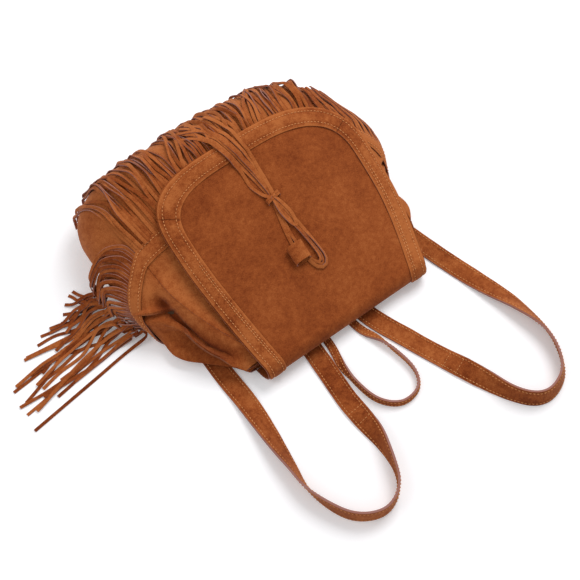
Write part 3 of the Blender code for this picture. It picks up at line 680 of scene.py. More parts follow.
def piece(name, bm, finishes, nodes=()):
    """Make an object of a bmesh, give it its finishes and let it ride on the bag."""
    mesh = bpy.data.meshes.new(name)
    bm.to_mesh(mesh)
    bm.free()
    obj = bpy.data.objects.new(name, mesh)
    bpy.context.scene.collection.objects.link(obj)
    for finish in finishes:
        mesh.materials.append(finish_named(finish))
    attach(obj, "root")
    if nodes:
        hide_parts(*nodes)
    return obj


def solid(obj, thickness, offset):
    """Give an open sheet its thickness, with the second finish on its cut edge."""
    only(obj)
    wall = obj.modifiers.new("thickness", "SOLIDIFY")
    wall.thickness = thickness
    wall.offset = offset
    wall.use_quality_normals = True
    wall.material_offset_rim = len(obj.data.materials) - 1
    bpy.ops.object.modifier_apply(modifier=wall.name)
    obj.data.shade_smooth()
    obj.data.set_sharp_from_angle(angle=math.radians(50))
    return obj


def sewn(name, bm, kind, node, thickness, offset):
    """A suede piece with its thickness, in place of one node of the solids."""
    return solid(piece(name, bm, [kind + "_nap", "raw_edge"], [node]), thickness, offset)


def patch(columns, rows, place, tone=None, flip=False):
    """A grid whose corners are moved to place(u, v), with a tone layer for the suede."""
    bm = bmesh.new()
    bmesh.ops.create_grid(bm, x_segments=columns, y_segments=rows, size=0.5)
    layer = bm.verts.layers.float.new("tone")
    for vert in bm.verts:
        u, v = vert.co.x + 0.5, vert.co.y + 0.5
        vert.co = place(u, v)
        if tone is not None:
            vert[layer] = tone(u, v)
    if flip:
        for face in bm.faces:
            face.normal_flip()
    return bm


def slope(place, u, v, d=0.01):
    """The normal of a surface over the unit square, not of unit length."""
    a = place(min(u + d, 1.0), v) - place(max(u - d, 0.0), v)
    b = place(u, min(v + d, 1.0)) - place(u, max(v - d, 0.0))
    return a.cross(b)


def ahead(points, j, reach=1):
    """The way that a line of points runs at one of them."""
    return points[min(j + reach, len(points) - 1)] - points[max(j - reach, 0)]


def distances(points):
    """How far along a line of points each of them is."""
    run = [0.0]
    for a, b in zip(points, points[1:]):
        run.append(run[-1] + (b - a).length)
    return run


class Stitches:
    """Rows of stitches, each a small seed of thread that sinks in at both ends."""
    sections = ((-0.5, 0.35, 0.0), (0.0, 1.0, 0.55), (0.5, 0.35, 0.0))
    corners = ((1, -0.6), (0.7, 0.8), (-0.7, 0.8), (-1, -0.6))
    wander = 0.00015

    def __init__(self):
        self.bm = bmesh.new()
        self.random = random.Random(3)

    def one(self, middle, run, up, length, thick):
        aside = run.cross(up).normalized()
        rings = []
        for shift, size, lift in self.sections:
            centre = middle + run * (shift * length) + up * (lift * thick)
            rings.append([self.bm.verts.new(centre + (aside * c + up * s) * (0.5 * size * thick))
                          for c, s in self.corners])
        for a, b in zip(rings, rings[1:]):
            for i in range(4):
                j = (i + 1) % 4
                self.bm.faces.new((a[i], a[j], b[j], b[i]))
        self.bm.faces.new(rings[0][::-1])
        self.bm.faces.new(rings[-1])

    def row(self, place, start, end, side, steps):
        """Stitches over the surface place(u, v), from one (u, v) to another."""
        own = settings()
        spots = [tuple(mix(a, b, i / steps) for a, b in zip(start, end)) for i in range(steps + 1)]
        points = [place(u, v) for u, v in spots]
        run = distances(points)
        k = 0
        distance = own.stitch_pitch * 0.5
        while distance < run[-1]:
            while run[k + 1] < distance:
                k += 1
            t = (distance - run[k]) / max(run[k + 1] - run[k], 1e-9)
            middle = points[k].lerp(points[k + 1], t)
            way = (points[min(k + 3, steps)] - points[max(k - 2, 0)]).normalized()
            up = slope(place, *spots[k]).normalized() * side
            wobble = way.cross(up) * self.random.uniform(-self.wander, self.wander)
            self.one(middle + wobble, way, up, own.stitch_pitch * self.random.uniform(0.66, 0.78), own.thread)
            distance += own.stitch_pitch * self.random.uniform(0.97, 1.03)

    def done(self, name, slot):
        obj = piece(name, self.bm, ["sewing_thread"])
        obj.data.shade_smooth()
        return obj


class Pile:
    """Heights of what already lies on a surface, over two running measures in metres."""

    def __init__(self, low, high, cell=0.0007):
        self.low = np.array(low)
        self.cell = cell
        self.size = np.ceil((np.array(high) - self.low) / cell).astype(int) + 1
        self.top = np.zeros(self.size)

    def cells(self, path, width):
        run = np.gradient(path, axis=0)
        run /= np.maximum(np.linalg.norm(run, axis=1, keepdims=True), 1e-9)
        aside = np.stack([run[:, 1], -run[:, 0]], 1)
        spread = np.linspace(-0.5, 0.5, 7)[None, :, None] * width
        spots = path[:, None, :] + aside[:, None, :] * spread
        index = np.round((spots - self.low) / self.cell).astype(int)
        index = np.clip(index, 0, self.size - 1)
        return index[..., 0], index[..., 1]

    @staticmethod
    def eased(values, reach):
        taps = np.exp(-0.5 * (np.arange(-3 * reach, 3 * reach + 1) / reach) ** 2)
        taps /= taps.sum()
        return np.convolve(np.pad(values, 3 * reach, mode="edge"), taps, mode="valid")

    def lay(self, path, width, thick, stiff=5, extra=None, keep=True):
        """Heights of a strip's middle along a path, over what lies there already."""
        iu, iv = self.cells(path, width)
        ground = self.top[iu, iv].max(axis=1)
        line = ground.copy()
        for _ in range(4):
            line = np.maximum(ground, self.eased(line, stiff))
        if extra is not None:
            line = line + extra
        line = np.maximum(self.eased(line, 2), ground - 0.2 * thick)
        if keep:
            over = np.repeat((line + thick)[:, None], iu.shape[1], axis=1)
            np.maximum.at(self.top, (iu, iv), over)
        return line + 0.5 * thick


class Strips:
    """Narrow suede strips that become one piece."""

    def __init__(self):
        self.bm = bmesh.new()
        self.layer = self.bm.verts.layers.float.new("tone")

    def add(self, points, asides, width, tone):
        """A strip of three rails through the points, with its half-width directions in asides."""
        rails = []
        for j, (point, aside) in enumerate(zip(points, asides)):
            up = aside.cross(ahead(points, j)).normalized()
            half = aside.normalized() * (0.5 * width)
            rail = [self.bm.verts.new(p) for p in (point - half, point + up * (CUP * width), point + half)]
            for vert in rail:
                vert[self.layer] = tone
            rails.append(rail)
        for a, b in zip(rails, rails[1:]):
            for i in range(2):
                self.bm.faces.new((a[i], a[i + 1], b[i + 1], b[i]))

    def done(self, name, node, thickness=FRINGE_T):
        return sewn(name, self.bm, "fringe", node, thickness, 0.0)


def spaced(points, count):
    """count + 1 points at even distances along a line of points."""
    run = distances(points)
    result = []
    k = 0
    for i in range(count + 1):
        goal = run[-1] * i / count
        while k < len(points) - 2 and run[k + 1] < goal:
            k += 1
        t = (goal - run[k]) / max(run[k + 1] - run[k], 1e-9)
        result.append(points[k].lerp(points[k + 1], t))
    return result


def flowing(points, per=12):
    """Points of a smooth curve through the given vectors."""
    pts = [points[0] * 2.0 - points[1]] + list(points) + [points[-1] * 2.0 - points[-2]]
    fine = []
    for a, b, c, d in zip(pts, pts[1:], pts[2:], pts[3:]):
        for i in range(per):
            t = i / per
            fine.append(0.5 * (2.0 * b + (c - a) * t + (2.0 * a - 5.0 * b + 4.0 * c - d) * t * t
                               + (3.0 * b - a - 3.0 * c + d) * t ** 3))
    fine.append(pts[-2].copy())
    return fine


# Body
def dented(place, amount, folds):
    """A surface with soft dents and folds put along its normal."""
    def moved(u, v):
        p = place(u, v)
        depth = amount * (soft_noise(p, 22.0) + 0.45 * soft_noise(p, 58.0, 5.0))
        depth += folds(u, v)
        normal = slope(place, u, v)
        return p if normal.length < 1e-12 else p + normal.normalized() * depth
    return moved


class SUEDEBAG_OT_body(bpy.types.Operator):
    """Sew the front, the sides with the bottom, and the back"""
    bl_idname = "suede_bag.body"
    bl_label = "Body Panels"

    def execute(self, context):
        amount = settings().crumple

        def front(u, v):
            left, right = ring_point(0.5 * v, 1.0), ring_point(1.0 - 0.5 * v, 1.0)
            x, y = mix(left.x, right.x, u), mix(left.y, right.y, u)
            return Vector((x, y, front_z(x, y)))

        # Painted shade along the front panel's seams
        def seam(u, v):
            return -SEAM_SHADE * math.exp(-from_end(u) * 0.25 / 0.003)

        def lip(u, v):
            """The fold's ridge, that the front panel shares with the side."""
            ridge = pleat(0.5 * v, 1.0) * (1.0 if u < 0.5 else RIGHT_FOLDS)
            return ridge * hill(from_end(u), 0.0, 0.04)

        bm = patch(110, 110, dented(front, 0.6 * amount, lip), seam)
        obj = sewn("front_suede", bm, "body", "front_panel", SUEDE_T, -1.0)

        def side(u, v):
            return side_point(u, mix(SIDE_START, SIDE_END, v))

        # Painted shade: darker along the side panel's seams, in the hollow under the gathered side's ridge
        # and low on its left side
        def shade(u, v):
            hollow = cavity(from_end(u), mix(SIDE_START, SIDE_END, v))
            low = LOW_SIDE_SHADE * smooth((0.30 - u) / 0.1) * smooth((v - 0.1) / 0.2)
            return -SEAM_SHADE * math.exp(-from_end(v) / 0.012) - HOLLOW_SHADE * hollow - low

        def gathers(u, v):
            e = mix(SIDE_START, SIDE_END, v)
            return pleat(u, e) if u < 0.5 else RIGHT_FOLDS * pleat(1.0 - u, e)

        bm = patch(300, 90, dented(side, amount, gathers), shade)
        obj = sewn("side_suede", bm, "body", "gusset", SUEDE_T, -1.0)

        def back(u, v):
            left, right = ring_point(0.5 * v, 3.0), ring_point(1.0 - 0.5 * v, 3.0)
            y = mix(left.y, right.y, u)
            middle = mid_x(y)
            x = middle + (mix(left.x, right.x, u) - middle) * BACK_SHARE
            return Vector((x, mix(MOUTH_Y, y, BACK_SHARE), 0.0))

        obj = sewn("back_suede", patch(60, 60, back), "body", "back_panel", SUEDE_T, 1.0)
        return {"FINISHED"}


class SUEDEBAG_OT_lining(bpy.types.Operator):
    """Hang the cotton lining in the bag and face the flap with it"""
    bl_idname = "suede_bag.lining"
    bl_label = "Lining"

    def execute(self, context):
        def pouch(u, v):
            y = mix(MOUTH_Y + POUCH_MOUTH_GAP, BOTTOM_Y - POUCH_BOTTOM_GAP, 1.0 - (1.0 - v) ** 1.6)
            fold = 1.0 - ramp(y, PLEAT_START_Y, PLEAT_END_Y)
            angle = 2.0 * math.pi * u
            share = mix(*POUCH_SHARES, fold) * reach(math.copysign(1.0, math.cos(angle)), y)
            x = mid_x(y) + half_width(y) * share * math.cos(angle)
            lift = abs(math.sin(angle)) ** 0.7 * math.sqrt(max(0.0, 1.0 - v ** 4))
            if math.sin(angle) >= 0.0:
                rise = max(front_z(x, y) - POUCH_FRONT_GAP - rim_z(y), POUCH_FRONT_GAP)
                return Vector((x, y, rim_z(y) + rise * lift))
            return Vector((x, y, rim_z(y) - (rim_z(y) - POUCH_BACK_GAP) * lift))

        def facing(u, v):
            return lifted(lambda a, b: flap_skin(a, b, FACING_INSET), u, mix(*FACING_SHARE, v), -FACING_DROP,
                          0.02, 0.01)

        bm = patch(96, 60, pouch)
        bmesh.ops.remove_doubles(bm, verts=bm.verts, dist=1e-5)
        obj = piece("cotton_pouch", bm, ["woven_cotton"], ["lining"])
        solid(obj, LINING_T, -1.0)

        obj = piece("flap_facing", patch(60, 70, facing), ["woven_cotton"], ["flap_lining"])
        solid(obj, LINING_T, -1.0)
        return {"FINISHED"}


# Bands
def dips(v, rows, width):
    return sum(hill(v, row, width) for row in rows)


def padded(v, rows, width, base, swell, drop):
    """Height of a band over what it is sewn to: it dips along its stitches and drops at its edges."""
    rim = 1.0 - smooth(from_end(v) / 0.10)
    return base + swell * math.sin(math.pi * v) - STITCH_DIP * dips(v, rows, width) - drop * rim


class SUEDEBAG_OT_flap(bpy.types.Operator):
    """Fold the flap over the mouth and sew its band round the edge"""
    bl_idname = "suede_bag.flap"
    bl_label = "Flap And Its Band"

    def execute(self, context):
        def cloth(u, v):
            p = flap_skin(u, v)
            sag = soft_noise(p, 14.0, 3.0) * 0.0009 + soft_noise(p, 40.0, 8.0) * 0.00025
            return p + UP * (sag * smooth((v - 0.3) / 0.2))

        panel = sewn("flap_suede_panel", patch(120, 170, cloth), "flap", "flap_panel", SUEDE_T, -1.0)

        def puffed(n):
            return padded(n, FLAP_ROWS, 0.05, 0.0016, 0.0004, 0.0005)

        # Painted highlight towards the band's rolled edges and painted shade in the dips of its stitch rows
        def tint(u, v):
            return 0.60 * math.exp(-from_end(v) / 0.05) - 0.24 * dips(v, FLAP_ROWS, 0.06)

        for name, node, start, end, columns in (
                ("flap_band_left_side", "flap_band_left", 0.0, BAND_SEAM_LEFT - 0.001, 160),
                ("flap_band_far_end", "flap_band_front", BAND_SEAM_LEFT, BAND_SEAM_RIGHT, 140),
                ("flap_band_right_side", "flap_band_right", BAND_SEAM_RIGHT + 0.001, 1.0, 160)):
            def ribbon(u, v, start=start, end=end, columns=columns):
                p = band_point(mix(start, end, u), v, puffed(v))
                ends = 1.0 - smooth(from_end(u) * columns / 2.5)
                return p + UP * (-0.0003 * ends + soft_noise(p, 75.0, 2.0) * 0.00022)

            sewn(name, patch(columns, 14, ribbon, tint, flip=True), "band", node, BAND_T, -1.0)

        def top(m, n):
            return band_point(m, n, puffed(n) + THREAD_LIFT)

        sewing = Stitches()
        for v, start, end in ((FLAP_ROWS[0], 0.004, 0.996), (FLAP_ROWS[1], 0.004, 0.996), (0.69, 0.06, 0.30),
                              (0.69, 0.70, 0.94)):
            sewing.row(top, (start, v), (end, v), -1.0, 900)
        threads = sewing.done("flap_stitching", "band_suede")
        return {"FINISHED"}


class SUEDEBAG_OT_yoke(bpy.types.Operator):
    """Lay the yoke band across the front and sew it down over the fringe"""
    bl_idname = "suede_bag.yoke"
    bl_label = "Yoke Band"

    def execute(self, context):
        def top(u, v, lift=THREAD_LIFT):
            height = padded(v, YOKE_ROWS, 0.06, 0.0022, 0.0005, 0.0006)
            return yoke_point(mix(-YOKE_REACH, YOKE_REACH, u), v, height + lift)

        def ribbon(u, v):
            p = top(u, v, 0.0)
            return p + UP * (soft_noise(p, 70.0, 4.0) * 0.0003)

        # Painted highlight towards the band's rolled edges, painted shade in the dips of its stitch rows, and
        # 0.10 lighter on the whole
        def tint(u, v):
            return 0.25 * math.exp(-from_end(v) / 0.06) - 0.20 * dips(v, YOKE_ROWS, 0.06) + 0.10

        band = sewn("yoke_suede", patch(300, 12, ribbon, tint), "band", "yoke_band", BAND_T, -1.0)
        sewing = Stitches()
        for v in YOKE_ROWS:
            sewing.row(top, (0.005, v), (0.995, v), 1.0, 900)
        threads = sewing.done("yoke_stitching", "band_suede")
        return {"FINISHED"}


# Fringe
def front_sheet(columns, length, step):
    """The surface that the front fringe lies on: rows of points from the yoke over the bottom edge."""
    places = [FRONT_LEFT + (FRONT_RIGHT - FRONT_LEFT) * i / columns for i in range(columns + 1)]
    sheet = []
    for s in places:
        start = lifted(skin, s, yoke_y(s) + 0.5 * YOKE_W - ROOT, 0.0)
        points = [start]
        falling = False
        while len(points) * step < length + step:
            x, y, z = points[-1]
            across = (x - mid_x(y)) / half_width(y)
            inside = inside_share(across, along(y))
            falling = falling or inside < 0.03
            if falling:
                out = Vector((across * abs(across) / half_width(y) * 3.0,
                              along(y) ** 3 / (BOTTOM_Y - SIDE_END_Y) * 4.0, 0.0)).normalized()
                drift = 0.55 if z > rim_z(y) - 0.004 else 0.0
                points.append(Vector((x, y, z - step * (1.0 if z > 0.006 else 0.0))) + out * step * drift)
            else:
                sway = 0.16 * (x - mid_x(y))
                run = Vector((sway, 0.12, 0.0)).normalized() * step
                z_next = front_z(x + run.x, y + run.y)
                ahead = Vector((x + run.x, y + run.y, max(z_next, z - 2.0 * step)))
                points.append(points[-1] + (ahead - points[-1]).normalized() * step)
        sheet.append(points)
    return np.array([[tuple(p) for p in row] for row in sheet])


class Drape:
    """A surface known by a grid of points, read at measures in metres, with its normals."""

    def __init__(self, grid, step):
        self.grid = grid
        self.step = step
        roots = np.linalg.norm(np.diff(grid[:, 0], axis=0), axis=1)
        self.measure = np.concatenate([[0.0], np.cumsum(roots)])
        along_u = np.gradient(grid, axis=0)
        along_v = np.gradient(grid, axis=1)
        normals = np.cross(along_u, along_v)
        length = np.linalg.norm(normals, axis=2, keepdims=True)
        self.normals = normals / np.maximum(length, 1e-12)
        self.width = self.measure[-1]

    def at(self, u, v):
        i = float(np.interp(u, self.measure, np.arange(len(self.measure))))
        j = min(max(v / self.step, 0.0), self.grid.shape[1] - 1.001)
        i = min(max(i, 0.0), self.grid.shape[0] - 1.001)
        i0, j0 = int(i), int(j)
        a, b = i - i0, j - j0
        spots = []
        for table in (self.grid, self.normals):
            value = ((table[i0, j0] * (1 - a) + table[i0 + 1, j0] * a) * (1 - b)
                     + (table[i0, j0 + 1] * (1 - a) + table[i0 + 1, j0 + 1] * a) * b)
            spots.append(Vector(value))
        return spots[0], spots[1].normalized()


def wave(seed, x):
    """A smooth wandering value between about -1 and 1."""
    return noise.noise(Vector((x, seed * 7.31, seed * 1.7))) * 1.6


class SUEDEBAG_OT_front_fringe(bpy.types.Operator):
    """Lay the strips that hang over the bottom edge, each over those before it"""
    bl_idname = "suede_bag.front_fringe"
    bl_label = "Front Fringe"

    def execute(self, context):
        own = settings()
        rng = random.Random(own.seed)
        step = 0.0015
        drape = Drape(front_sheet(80, own.strip_length + 0.012, step), step)
        pile = Pile((-0.02, 0.0), (drape.width + 0.02, own.strip_length + 0.02))
        count = int(drape.width / own.strip_pitch)
        strands = []
        group = 0
        left = 0
        for i in range(count):
            if left == 0:
                group += 1
                left = rng.randint(2, 6)
                pull = rng.uniform(0.05, 0.36)
                centre = (i + 0.5 * left) * own.strip_pitch
            left -= 1
            cross = 0.0
            if rng.random() < 0.13:
                cross = rng.choice((-1.0, 1.0)) * rng.uniform(0.008, 0.024)
            strands.append(((i + 0.5) * own.strip_pitch, group, centre, pull, cross, rng.random()))
        strips = Strips()
        for k, (root, group, centre, pull, cross, chance) in enumerate(
                sorted(strands, key=lambda s: abs(s[4]) * 20.0 + s[5])):
            length = own.strip_length + rng.uniform(-0.006, 0.003)
            n = int(length / step)
            downs = np.linspace(0.0, length, n)
            path = []
            start = rng.uniform(0.018, 0.040)
            for d in downs:
                u = root + (centre - root) * pull * smooth((d - 0.012) / 0.065)
                u += 0.0045 * wave(group, d / 0.055) * smooth((d - 0.010) / 0.05)
                u += 0.0032 * wave(40 + k, d / 0.040) * smooth((d - 0.012) / 0.05)
                u += cross * smooth((d - start) / 0.085)
                path.append((u, d))
            path = np.array(path)
            loose = np.zeros(n)
            if chance < 0.30:
                peak = rng.uniform(0.045, 0.075)
                loose = rng.uniform(0.0015, 0.0042) * np.exp(-((downs - peak) / 0.013) ** 2)
            heights = np.minimum(pile.lay(path, own.strip_width, FRINGE_T * 0.9, 4, loose), 0.0060)
            points, asides, ups = [], [], []
            for (u, d), h in list(zip(path, heights))[::3]:
                p, normal = drape.at(u, d)
                points.append(p + normal * (h + 0.0001))
                ups.append(normal)
            for j, (d, up) in enumerate(zip(downs[::3], ups)):
                lean = (0.85 * wave(90 + k, d / 0.045) * smooth((d - 0.015) / 0.03)
                        + 1.2 * hill(d, 0.065, 0.02) * wave(140 + k, 0.5))
                run = ahead(points, j)
                asides.append(Matrix.Rotation(lean, 3, run.normalized()) @ run.cross(up).normalized())
                points[j] = points[j] + up * abs(math.sin(lean)) * own.strip_width * 0.35
            for p in points:
                p.z = max(p.z, FLOOR_Z + 2.0 * FLOOR_GAP)
            strips.add(points, asides, own.strip_width, rng.uniform(-0.32, 0.30))
        obj = strips.done("front_fringe", "fringe_front")
        return {"FINISHED"}


# Where the left strips end on the floor, as pixels of the picture, from the uppermost root to the lowest
TIPS = ((66, 295), (65, 307), (71, 330), (47, 330), (39, 337), (39, 346), (57, 350), (25, 359), (15, 388),
        (12, 394), (24, 402), (18, 410), (35, 410), (27, 417), (32, 430))
# Where they reach the floor, in the same way
LANDINGS = ((88, 300), (91, 311), (94, 322), (101, 334), (124, 349))
LOWEST_E = 2.7


def beside(e, y, off):
    """A point off the left side, never below the floor."""
    normal = skin_normal(-e, y)
    normal.z = max(normal.z, 0.0)
    p = skin(-e, y) + normal.normalized() * off
    p.z = max(p.z, FLOOR_Z + FLOOR_GAP)
    return p


def guides(share, rng):
    """The points that one strip passes, from under the yoke band to its tip."""
    def about(low, high):
        return rng.uniform(low, high)

    e = mix(abs(FRONT_LEFT) + 0.05, SIDE_REACH, share)
    y = yoke_y(-e) + 0.5 * YOKE_W
    out = mix(0.027, 0.016, share) * about(0.82, 1.15)
    off = mix(0.012, 0.007, share) * (1.9 if rng.random() < 0.12 else about(0.4, 1.1))
    low = FLOOR_Z + 0.6 * FRINGE_T
    place = share * (len(LANDINGS) - 1)
    k = min(int(place), len(LANDINGS) - 2)
    across, down = (mix(a, b, place - k) for a, b in zip(LANDINGS[k], LANDINGS[k + 1]))
    land = seen_at(across + about(-5.0, 5.0), down + about(-4.0, 4.0), low)
    turn = share * (len(TIPS) - 1)
    across, down = TIPS[round(turn)]
    tip = seen_at(across + about(-2.0, 3.0), down + about(-2.0, 2.0), low)
    if abs(turn - round(turn)) > 0.20:
        aside = (tip - land).cross(UP).normalized()
        tip = land.lerp(tip, about(0.45, 0.85)) + aside * about(-0.010, 0.010)
    bend = (tip - land).cross(UP) * (about(-0.13, 0.13) if share < 0.97 else 0.0)
    return [
        lifted(skin, -e, y - ROOT, 0.0006), lifted(skin, -e, y + ROOT, 0.0016),
        beside(e + 0.05, y + 0.60 * out, 0.004 + 0.5 * off),
        beside(min(e + mix(0.30, 0.10, share), LOWEST_E), y + out, 0.005 + 0.9 * off),
        beside(min(e + mix(0.75, 0.20, share), LOWEST_E), y + 0.80 * out, 0.006 + 1.1 * off),
        beside(max(2.35, e), mix(y + 0.4 * out, land.y, 0.6), 0.006 + off),
        land, land.lerp(tip, 0.35) + bend, land.lerp(tip, 0.70) + bend * about(-0.4, 1.0), tip]


def turned(line, share, i):
    """Half-width directions: along the yoke at the root, then turned to lie flat on the floor."""
    s = -mix(abs(FRONT_LEFT) + 0.05, SIDE_REACH, share)
    aside = (skin(s - 0.03, yoke_y(s)) - skin(s + 0.03, yoke_y(s))).normalized()
    runs = [ahead(line, j).normalized() for j in range(len(line))]
    asides = []
    for run in runs:
        aside = (aside - run * aside.dot(run)).normalized()
        asides.append(aside)
    flat = runs[-1].cross(UP).normalized()
    turn = math.atan2(asides[-1].cross(flat).dot(runs[-1]), asides[-1].dot(flat))
    turn = (turn + 0.5 * math.pi) % math.pi - 0.5 * math.pi
    twisted = []
    for j, (run, aside) in enumerate(zip(runs, asides)):
        t = j / (len(line) - 1)
        own_turn = turn * smooth((t - mix(0.32, 0.12, share)) / mix(0.32, 0.16, share))
        own_turn += 0.40 * wave(300 + i, t * 4.0) * smooth(t * 6.0) * (1.0 - smooth((t - 0.80) / 0.1))
        twisted.append(Matrix.Rotation(own_turn, 3, run) @ aside)
    return twisted


class SUEDEBAG_OT_left_fringe(bpy.types.Operator):
    """Arch the strips off the left side and lay their ends out over the floor"""
    bl_idname = "suede_bag.left_fringe"
    bl_label = "Left Fringe"

    def execute(self, context):
        own = settings()
        rng = random.Random(own.seed + 5)
        pile = Pile((-0.36, -0.10), (-0.10, 0.13))
        strips = Strips()
        count, steps, rooted, free = 38, 96, 20, 0.014
        for i in rng.sample(range(count), count):
            share = i / (count - 1)
            line = spaced(flowing(guides(share, rng)), steps)
            path = np.array([(p.x, p.y) for p in line])
            ground = pile.lay(path, own.strip_width, FRINGE_T, 4, keep=False)
            iu, iv = pile.cells(path, own.strip_width)
            for j, p in enumerate(line):
                if j > rooted:
                    p.z = max(p.z, FLOOR_Z + ground[j])
                    if p.z < FLOOR_Z + free:
                        top = p.z + 0.5 * FRINGE_T - FLOOR_Z
                        pile.top[iu[j], iv[j]] = np.maximum(pile.top[iu[j], iv[j]], top)
            chosen = line[::2]
            # Each strip's tone differs at random, and the range is set darker as painted shade for the strips
            # lying in the bag's shadow
            strips.add(chosen, turned(chosen, share, i), own.strip_width * 0.95, rng.uniform(-0.50, 0.20))
        obj = strips.done("left_fringe", "fringe_left")
        return {"FINISHED"}


class SUEDEBAG_OT_right_fringe(bpy.types.Operator):
    """Lay the strips back along the right side"""
    bl_idname = "suede_bag.right_fringe"
    bl_label = "Right Fringe"

    def execute(self, context):
        own = settings()
        rng = random.Random(own.seed + 9)
        strips = Strips()
        count, steps = 26, 34
        for i in range(count):
            share = i / (count - 1)
            s = mix(FRONT_RIGHT + 0.05, SIDE_REACH, share)
            start = yoke_y(s) + 0.5 * YOKE_W - ROOT
            end = 0.100 + rng.uniform(-0.008, 0.006)
            lift = 0.0007 if i % 2 else 0.0019
            points = []
            for j in range(steps + 1):
                t = j / steps
                here = mix(s, mix(RIGHT_END_S, SIDE_REACH, share), t)
                here = min(max(here + 0.035 * wave(400 + i, t * 3.0) * smooth(t * 3.0), 0.80), 2.75)
                height = mix(0.0006, 0.0014 + lift + 0.0006 * wave(500 + i, t * 4.0), smooth(t * 4.0))
                points.append(lifted(skin, here, mix(start, end, t), height, 0.12))
            facing = min(max(s, 0.9), 2.6)
            normals = [skin_normal(facing, mix(start, end, j / steps)) for j in range(steps + 1)]
            asides = [ahead(points, j).cross(normal).normalized() for j, normal in enumerate(normals)]
            strips.add(points, asides, own.strip_width, rng.uniform(-0.25, 0.25))
        obj = strips.done("right_fringe", "fringe_right")
        return {"FINISHED"}


# Straps
LEFT_STRAP = (
    (-0.040, -0.086), (-0.041, -0.130), (-0.047, -0.196), (-0.050, -0.255), (-0.063, -0.296),
    (-0.091, -0.311), (-0.121, -0.295), (-0.138, -0.254), (-0.137, -0.213), (-0.131, -0.139),
    (-0.131, -0.088), (-0.126, -0.010), (-0.116, 0.085),
)
RIGHT_STRAP = (
    (0.030, -0.086), (0.031, -0.130), (0.048, -0.180), (0.066, -0.228), (0.089, -0.292),
    (0.115, -0.316), (0.148, -0.305), (0.166, -0.266), (0.163, -0.220), (0.151, -0.172),
    (0.134, -0.106), (0.117, -0.020), (0.103, 0.085),
)
HANDLE = (
    (-0.0215, -0.086), (-0.0225, -0.134), (-0.029, -0.168), (-0.0245, -0.210), (-0.006, -0.231),
    (0.018, -0.229), (0.029, -0.208), (0.024, -0.168), (0.013, -0.134), (0.0115, -0.086),
)


# Piece, node, middle line, width, how far it tilts in degrees, the shares of its length between which
# it tilts and between which it stands on edge, its cells across and along, and where its lap is sewn
STRAPS = (
    ("left_strap", "shoulder_strap_left", LEFT_STRAP, 0.022,
     92, (0.14, 0.72), (0.31, 0.42), 10, 420, 0.185),
    ("right_strap", "shoulder_strap_right", RIGHT_STRAP, 0.022,
     74, (0.18, 0.66), (0.33, 0.44), 10, 420, 0.205),
    ("hanging_loop", "handle_loop", HANDLE, 0.009,
     82, (0.16, 0.84), (0.30, 0.70), 6, 220, None),
)
STRAP_STEPS = 400
LAP = 0.022


def strap_surface(points, width, tilt, flat, standing, lift):
    """place(u, v) over a strap's middle: flat to a share of its length, on edge round its loop."""
    line = spaced(flowing([Vector((x, y, 0.0)) for x, y in points], 16), STRAP_STEPS)
    leave, back = flat
    up, down = standing

    def place(u, v):
        f = clamp(v) * STRAP_STEPS
        i = min(int(f), STRAP_STEPS - 1)
        here = line[i].lerp(line[i + 1], f - i)
        run = ahead(line, i, 3).normalized()
        angle = tilt * smooth((v - leave) / (up - leave)) * (1.0 - smooth((v - down) / (back - down)))
        edge = 1.0 + 0.020 * noise.noise(Vector((v * 40.0, 3.0 if u < 0.5 else 9.0, width * 100.0)))
        rise = FLOOR_Z + 0.5 * (width * math.sin(angle) + STRAP_T * math.cos(angle))
        across = run.cross(UP) * math.cos(angle) - UP * math.sin(angle)
        p = Vector((here.x, here.y, rise)) + across * ((u - 0.5) * width * edge)
        return p + across.cross(run) * lift

    return place


def up_side(place):
    """Which way a strap's own normal looks near its start: 1 if up."""
    a = place(0.6, 0.05) - place(0.4, 0.05)
    b = place(0.5, 0.06) - place(0.5, 0.04)
    return math.copysign(1.0, a.cross(b).z)


class SUEDEBAG_OT_straps(bpy.types.Operator):
    """Sew the two shoulder straps and the hanging loop"""
    bl_idname = "suede_bag.straps"
    bl_label = "Straps And Loop"

    def execute(self, context):
        sewing = Stitches()
        face = 0.5 * STRAP_T - 0.0001
        for name, node, points, width, tilt, flat, standing, columns, rows, lap in STRAPS:
            surface, top, under = (strap_surface(points, width, math.radians(tilt), flat, standing, lift)
                                   for lift in (0.0, face, -face))

            def middle(u, v, surface=surface):
                p = surface(u, v)
                return p + UP * (0.0002 * soft_noise(p, 60.0, 1.0))

            def tint(u, v):
                edge = from_end(u)
                worn = 0.16 * noise.noise(Vector((v * 22.0, 1.0, 0.0)))
                return 0.20 * math.exp(-edge / 0.05) - 0.22 * hill(edge, 0.14, 0.05) + worn

            sewn(name, patch(columns, rows, middle, tint), "strap", node, STRAP_T * 0.97, 0.0)
            inset = 0.13 if width > 0.012 else 0.22
            side = up_side(top)
            start, end = (mix(a, b, 0.5) for a, b in ((flat[0], standing[0]), (standing[1], flat[1])))
            for u in (inset, 1.0 - inset):
                sewing.row(top, (u, 0.01), (u, 0.99), side, 900)
                sewing.row(under, (u, start), (u, end), -side, 600)
            if lap is not None:
                for v in (lap, lap + LAP):
                    sewing.row(top, (0.10, v), (0.90, v), side, 60)
        sewing.done("strap_stitching", "strap_suede")
        return {"FINISHED"}


# Tassel
def flap_top(x, y):
    """Height of what the tassel lies on: the flap, its band and, past the flap, the fringe."""
    band = smooth((y - FLAP_END_Y + BAND_W + 0.006) / 0.006) * 0.0022
    over_flap = flap_z(x, y) + 0.0002 + band
    over_front = front_z(x, y) + 0.0035
    return mix(over_flap, over_front, smooth((y - FLAP_END_Y - 0.001) / 0.014))


